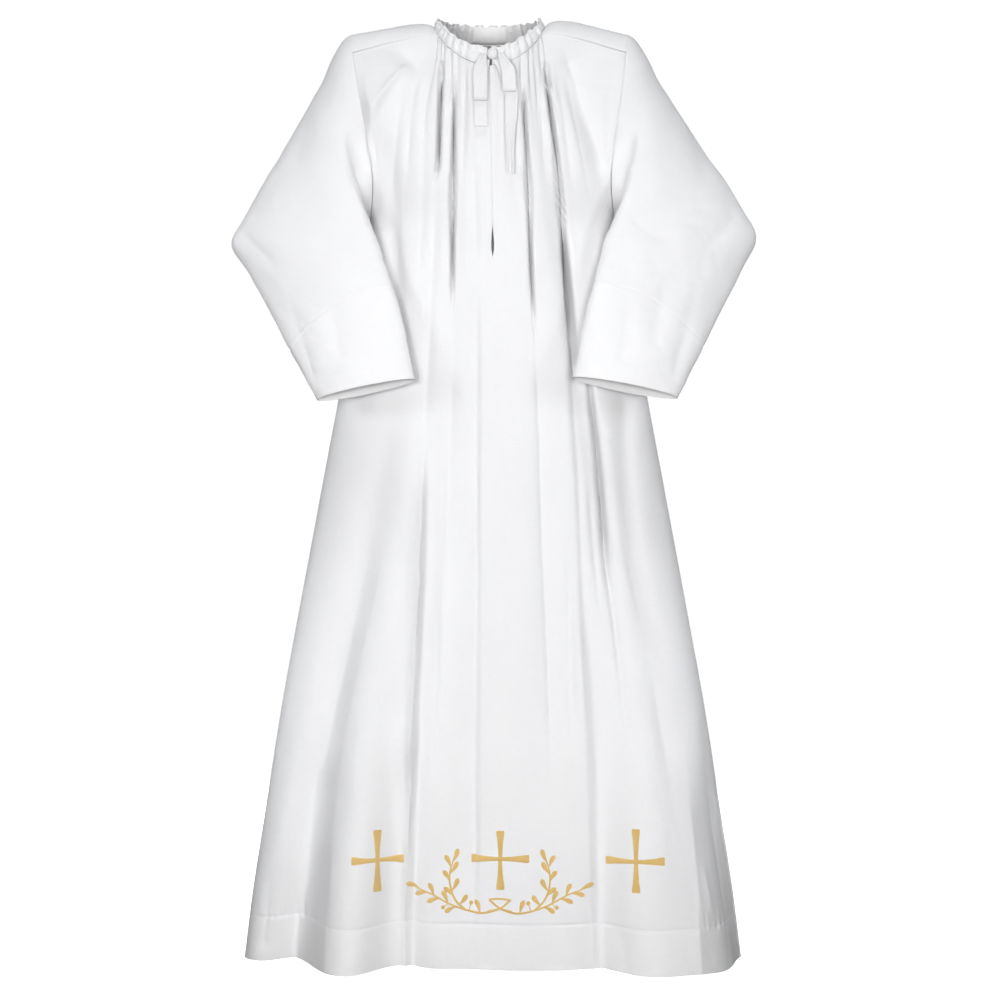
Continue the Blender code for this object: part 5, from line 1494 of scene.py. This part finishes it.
def add_embroidery(name, shapes, material):
    """Several shapes as one piece."""
    points, faces, uvs = [], [], []
    for path, widths in shapes:
        more_points, more_faces, more_uvs = satin_shape(path, widths)
        faces += [tuple(index + len(points) for index in face) for face in more_faces]
        points += more_points
        uvs += more_uvs
    return add_threads(name, points, faces, uvs, material)


gold = gold_thread("gold_thread")
print("a satin shape's middle stands", round(LIFT + DOME, 5), "m above the cloth")

# %% [markdown]
# Three crosses stand in a row above the hem, and under the middle one two sprigs part from a small knot
# of stems. The drawing is the lesson's own, from plain crosses, leaves and berries. Each cross has
# four arms that flare towards their ends, and no two crosses are quite the same, as in hand work.
# %% The crosses
ARM_NARROW, ARM_WIDE = 0.0030, 0.0066  # half an arm's width at the middle of a cross and at its end
ARM_STEPS, ARM_ROUND = (0.0, 0.35, 0.7, 0.93, 1.0), 0.90


def cross_shapes(x, z, left, right, up, down):
    """A cross round (x, z), made of four arms of those lengths that flare towards their ends."""
    shapes = []
    for way, reach in (((-1, 0), left), ((1, 0), right), ((0, 1), up), ((0, -1), down)):
        path = [(x + way[0] * reach * s, z + way[1] * reach * s) for s in ARM_STEPS]
        widths = [mix(ARM_NARROW, ARM_WIDE, s**1.6) for s in ARM_STEPS[:-1]] + [ARM_WIDE * ARM_ROUND]
        shapes.append((path, widths))
    return shapes


CROSSES = {
    "cross_right": (-0.1715, -1.2755, 0.038, 0.039, 0.045, 0.047),
    "cross_middle": (0.0112, -1.2735, 0.043, 0.043, 0.042, 0.046),
    "cross_left": (0.2125, -1.2770, 0.044, 0.043, 0.048, 0.046),
}
embroidery = {name: add_embroidery(name, cross_shapes(*cross), gold) for name, cross in CROSSES.items()}
print("crosses:", list(embroidery))

# %% [markdown]
# Each sprig is a low main stem and a shorter one that turns up from it. Leaves sit on both stems by
# turns, each a drop shape that is widest past its middle, and two berries hang on short stalks. The
# left and right sprigs are mirror images, drawn from the same table.
# %% The sprigs
SPRIG_X = 0.0105  # the line between the two sprigs
STEM_HALF = 0.0016  # half a stem's width
STEM_POINTS, KNOT_POINTS = 12, 10
MAIN_STEM = ((0.000, -1.3475), (0.024, -1.3545), (0.052, -1.3500),
             (0.078, -1.3400), (0.100, -1.3280), (0.122, -1.3200))
UP_STEM = ((0.052, -1.3500), (0.066, -1.3360), (0.0735, -1.3160), (0.0745, -1.2960), (0.0700, -1.2780))
KNOT_STEMS = (((0.016, -1.3345), (0.000, -1.3470), (-0.018, -1.3520)),
              ((0.016, -1.3345), (-0.0005, -1.3330), (-0.016, -1.3345)))
# Leaves: where each starts, which way it points in degrees from outwards, and its length.
Leaf = namedtuple("Leaf", "x z turn length")
LEAVES = (
    Leaf(0.066, -1.3455, -30, 0.018),
    Leaf(0.078, -1.3400, 66, 0.020),
    Leaf(0.090, -1.3330, -20, 0.020),
    Leaf(0.099, -1.3285, 68, 0.019),
    Leaf(0.108, -1.3250, -14, 0.019),
    Leaf(0.120, -1.3205, 24, 0.022),
    Leaf(0.060, -1.3420, 128, 0.018),
    Leaf(0.0700, -1.3290, 40, 0.018),
    Leaf(0.0715, -1.3210, 118, 0.020),
    Leaf(0.0748, -1.3070, 56, 0.018),
    Leaf(0.0742, -1.2960, 122, 0.021),
    Leaf(0.0735, -1.2850, 62, 0.018),
    Leaf(0.0702, -1.2785, 112, 0.021),
    Leaf(0.0300, -1.3530, 70, 0.019),
)
# Berries: the middle of each, and where its stalk starts.
BERRIES = (((0.0425, -1.3395), (0.0460, -1.3505)), ((0.0845, -1.3465), (0.0760, -1.3400)))
BERRY_HALF = 0.0033
LEAF_STEPS = np.array((0.0, 0.2, 0.45, 0.68, 0.86, 1.0))
LEAF_WIDTHS = (0.0011, 0.0018, 0.0029, 0.0037, 0.0032, 0.0008)
LEAF_BEND = 0.0012
STALK_WIDTHS = (0.0008, 0.0007, 0.0007)


def leaf_path(leaf):
    """A leaf's middle line, which bends a little to one side."""
    turn = math.radians(leaf.turn)
    way_x, way_z = math.cos(turn), math.sin(turn)
    bend = LEAF_BEND * np.sin(math.pi * LEAF_STEPS)
    return [(leaf.x + leaf.length * s * way_x - b * way_z, leaf.z + leaf.length * s * way_z + b * way_x)
            for s, b in zip(LEAF_STEPS, bend)]


def berry_shapes(middle, stalk):
    """A stalk and the round berry at its end."""
    (x, z), (from_x, from_z) = middle, stalk
    path = [stalk, (mix(from_x, x, 0.5), mix(from_z, z, 0.5)), middle]
    steps = np.linspace(-1, 1, 7)
    berry = [(x, z + BERRY_HALF * s) for s in steps]
    return [(path, STALK_WIDTHS), (berry, BERRY_HALF * np.sqrt(np.maximum(0.02, 1 - steps**2)))]


def laid(path, way):
    """A path drawn from the line between the sprigs. way: 1 for the wearer's left, -1 for the right."""
    return [(SPRIG_X + way * x, z) for x, z in path]


def sprig_shapes(way):
    """The shapes of one sprig."""
    tapered = np.linspace(STEM_HALF * 1.15, STEM_HALF * 0.7, STEM_POINTS)
    shapes = [(smooth_path(laid(stem, way), STEM_POINTS), tapered) for stem in (MAIN_STEM, UP_STEM)]
    shapes += [(laid(leaf_path(leaf), way), LEAF_WIDTHS) for leaf in LEAVES]
    for middle, stalk in BERRIES:
        shapes += [(laid(path, way), widths) for path, widths in berry_shapes(middle, stalk)]
    return shapes


knot_paths = (laid(KNOT_STEMS[0], 1), laid(KNOT_STEMS[0], -1), laid(KNOT_STEMS[1], 1))
knot_shapes = [(smooth_path(path, KNOT_POINTS), np.full(KNOT_POINTS, STEM_HALF)) for path in knot_paths]
embroidery["sprigs"] = add_embroidery("sprigs", sprig_shapes(1) + sprig_shapes(-1) + knot_shapes, gold)
print("embroidery faces:", sum(len(piece.data.polygons) for piece in embroidery.values()))

# %% [markdown]
# The stage is a plain pale round floor that curves up into a wall on all sides and glows a little, as a
# backdrop lit from behind does. Two soft lamps stand beside the camera at its height, and two more
# stand the same way behind the robe, so its back is lit as its front is. A surface that faces a lamp
# is bright, and one that turns away is grey, so each fold shows as a grey flank. One side lamp or one
# high lamp would be simpler, but it would throw the sleeves' shadows over the body. Weak lamps with a
# narrow fan of light, one above, one low in front and two at each side, keep the shoulders, the hem and
# the outer edges from going dark, and a faint sky fills the rest.
# %% The floor and the light
FLOOR_Z, FLOOR_MIDDLE, FLOOR_REACH = -1.50, 1.5, 7.0
SWEEP, WALL_TOP = 1.2, 7.0  # the radius of the curve from floor to wall, and how high the wall goes
FLOOR_SIDES, SWEEP_STEPS = 48, 12


def lit_paper():
    """White paper that glows as if lit from behind."""
    material, _, shader = new_material("lit_paper", (0.92, 0.92, 0.92), 0.9)
    shader.inputs["Specular IOR Level"].default_value = 0.5
    shader.inputs["Emission Color"].default_value = (1, 1, 1, 1)
    shader.inputs["Emission Strength"].default_value = 0.95
    return material


def add_floor():
    """A round floor that turns up into a wall on all sides, so every view has the same backdrop."""
    profile = [(FLOOR_MIDDLE, FLOOR_Z)]
    for step in np.linspace(0, math.pi / 2, SWEEP_STEPS + 1):
        profile.append((FLOOR_REACH + SWEEP * math.sin(step), FLOOR_Z + SWEEP - SWEEP * math.cos(step)))
    profile.append((FLOOR_REACH + SWEEP, WALL_TOP))
    turns = np.linspace(0, 2 * math.pi, FLOOR_SIDES, endpoint=False)
    points = [(out * math.cos(turn), out * math.sin(turn), z) for out, z in profile for turn in turns]
    points.append((0.0, 0.0, FLOOR_Z))
    faces = [(k, (k + 1) % FLOOR_SIDES, len(points) - 1) for k in range(FLOOR_SIDES)]
    for row in range(len(profile) - 1):
        for k in range(FLOOR_SIDES):
            near, beside = row * FLOOR_SIDES + k, row * FLOOR_SIDES + (k + 1) % FLOOR_SIDES
            faces.append((near, near + FLOOR_SIDES, beside + FLOOR_SIDES, beside))
    return add_mesh("floor", points, faces, lit_paper())


def add_lamp(name, place, aim, size, power, colour, spread=180):
    """A square lamp at a place, aimed at another, whose light fans out over the given degrees."""
    lamp = bpy.data.objects.new(name, bpy.data.lights.new(name, "AREA"))
    lamp.data.shape = "SQUARE"
    lamp.data.size = size
    lamp.data.energy = power
    lamp.data.color = colour
    lamp.data.spread = math.radians(spread)
    lamp.location = place
    lamp.rotation_euler = (Vector(aim) - Vector(place)).to_track_quat("-Z", "Y").to_euler()
    lamp.visible_camera = False
    scene.collection.objects.link(lamp)
    return lamp


floor = add_floor()
floor.visible_diffuse = False  # the paper is lit from behind, and that light stays off the robe
WARM, COOL = (1.0, 0.998, 0.99), (0.96, 0.98, 1.0)
LAMP_AWAY, LAMP_Z, ROBE_MIDDLE = 2.7, -0.62, (0, 0, -0.76)
for name, x, way, power in (("front_left", -0.45, FRONT, 36), ("front_right", 0.46, FRONT, 23.7),
                            ("back_left", -0.45, BACK, 30), ("back_right", 0.46, BACK, 30)):
    add_lamp(name, (x, way * LAMP_AWAY, LAMP_Z), ROBE_MIDDLE, 0.5, power, WARM)
add_lamp("above", (0.0, -1.0, 2.2), (0, 0, 0), 1.0, 2.4, COOL, spread=50)
add_lamp("low", (0.0, -2.6, -1.5), (0, 0, -1.4), 0.4, 0.16, WARM, spread=24)
for side in (-1, 1):
    add_lamp("sleeve_%d" % side, (side * 2.4, -1.6, 0.2), (side * 0.55, 0, -0.40), 0.8, 1.0, COOL, spread=34)
    add_lamp("skirt_%d" % side, (side * 2.4, -1.2, -0.9), (side * 0.50, 0, -1.02), 0.4, 0.18, COOL, spread=18)
sky = bpy.data.worlds.new("sky")
sky.use_nodes = True
sky.node_tree.nodes["Background"].inputs["Color"].default_value = (0.96, 0.97, 1.0, 1)
sky.node_tree.nodes["Background"].inputs["Strength"].default_value = 0.08
scene.world = sky
scene.view_settings.view_transform = "Standard"

# %% [markdown]
# Last, each piece is tied to the frame: it rides on the one body, and each cloth, tape and label hides the
# solid of the same name. The flat size each cloth was cut to is printed below, beside its modelled area. A
# gathered or shaped piece is cut larger than its outline, and where its cut isn't a rectangle its area is
# given.
# %% What each piece stands for
for name, piece in pieces.items():
    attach(piece, "root")
    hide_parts(name)
for piece in [*stitches.values(), *embroidery.values()]:
    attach(piece, "root")
print("pieces tied to the frame:", len(pieces) + len(stitches) + len(embroidery))

# %% [markdown]
# The cut sizes are for what shows. The panels are wider at the hem than at the shoulder, so their cut
# is a trapezium with an area below width times length.
# %% The cut of each cloth
Cut = namedtuple("Cut", "width length area held rests_on on_it")
YOKES = ["yoke_left_cloth", "yoke_right_cloth"]
BAND = ["neckband_cloth"]
CUTS = {
    "body_front": Cut(0.92, 1.46, 0.98, "hung", YOKES + BAND,
                      ["front_hem_stitches", "front_shoulder_stitches", "slit_stitches", *embroidery]),
    "body_back": Cut(0.94, 1.46, 1.00, "hung", YOKES + BAND, ["back_hem_stitches", "back_shoulder_stitches"]),
    "yoke_left": Cut(0.145, 0.085, None, "laid", BAND, []),
    "yoke_right": Cut(0.145, 0.085, None, "laid", BAND, []),
    "sleeve_left": Cut(0.60, 0.66, 0.24, "hung", ["yoke_left_cloth", "body_front_cloth"],
                       ["left_cuff_stitches"]),
    "sleeve_right": Cut(0.60, 0.66, 0.24, "hung", ["yoke_right_cloth", "body_front_cloth"],
                        ["right_cuff_stitches"]),
    "neckband": Cut(0.56, 0.030, None, "gathered", YOKES, ["neckband_stitches"]),
    "neck_label": Cut(0.055, 0.026, None, "laid", BAND, []),
}
for name, cut in CUTS.items():
    flat = cut.area or cut.width * cut.length
    print(name, "cut", flat, "m2, modelled", round(areas[pieces[name].name], 4), "m2")
tape_shares = {name: areas[pieces[name].name] / TAPE_WIDTH / length for name, length in tape_lengths.items()}
print("tapes:", {name: round(share, 2) for name, share in tape_shares.items()})
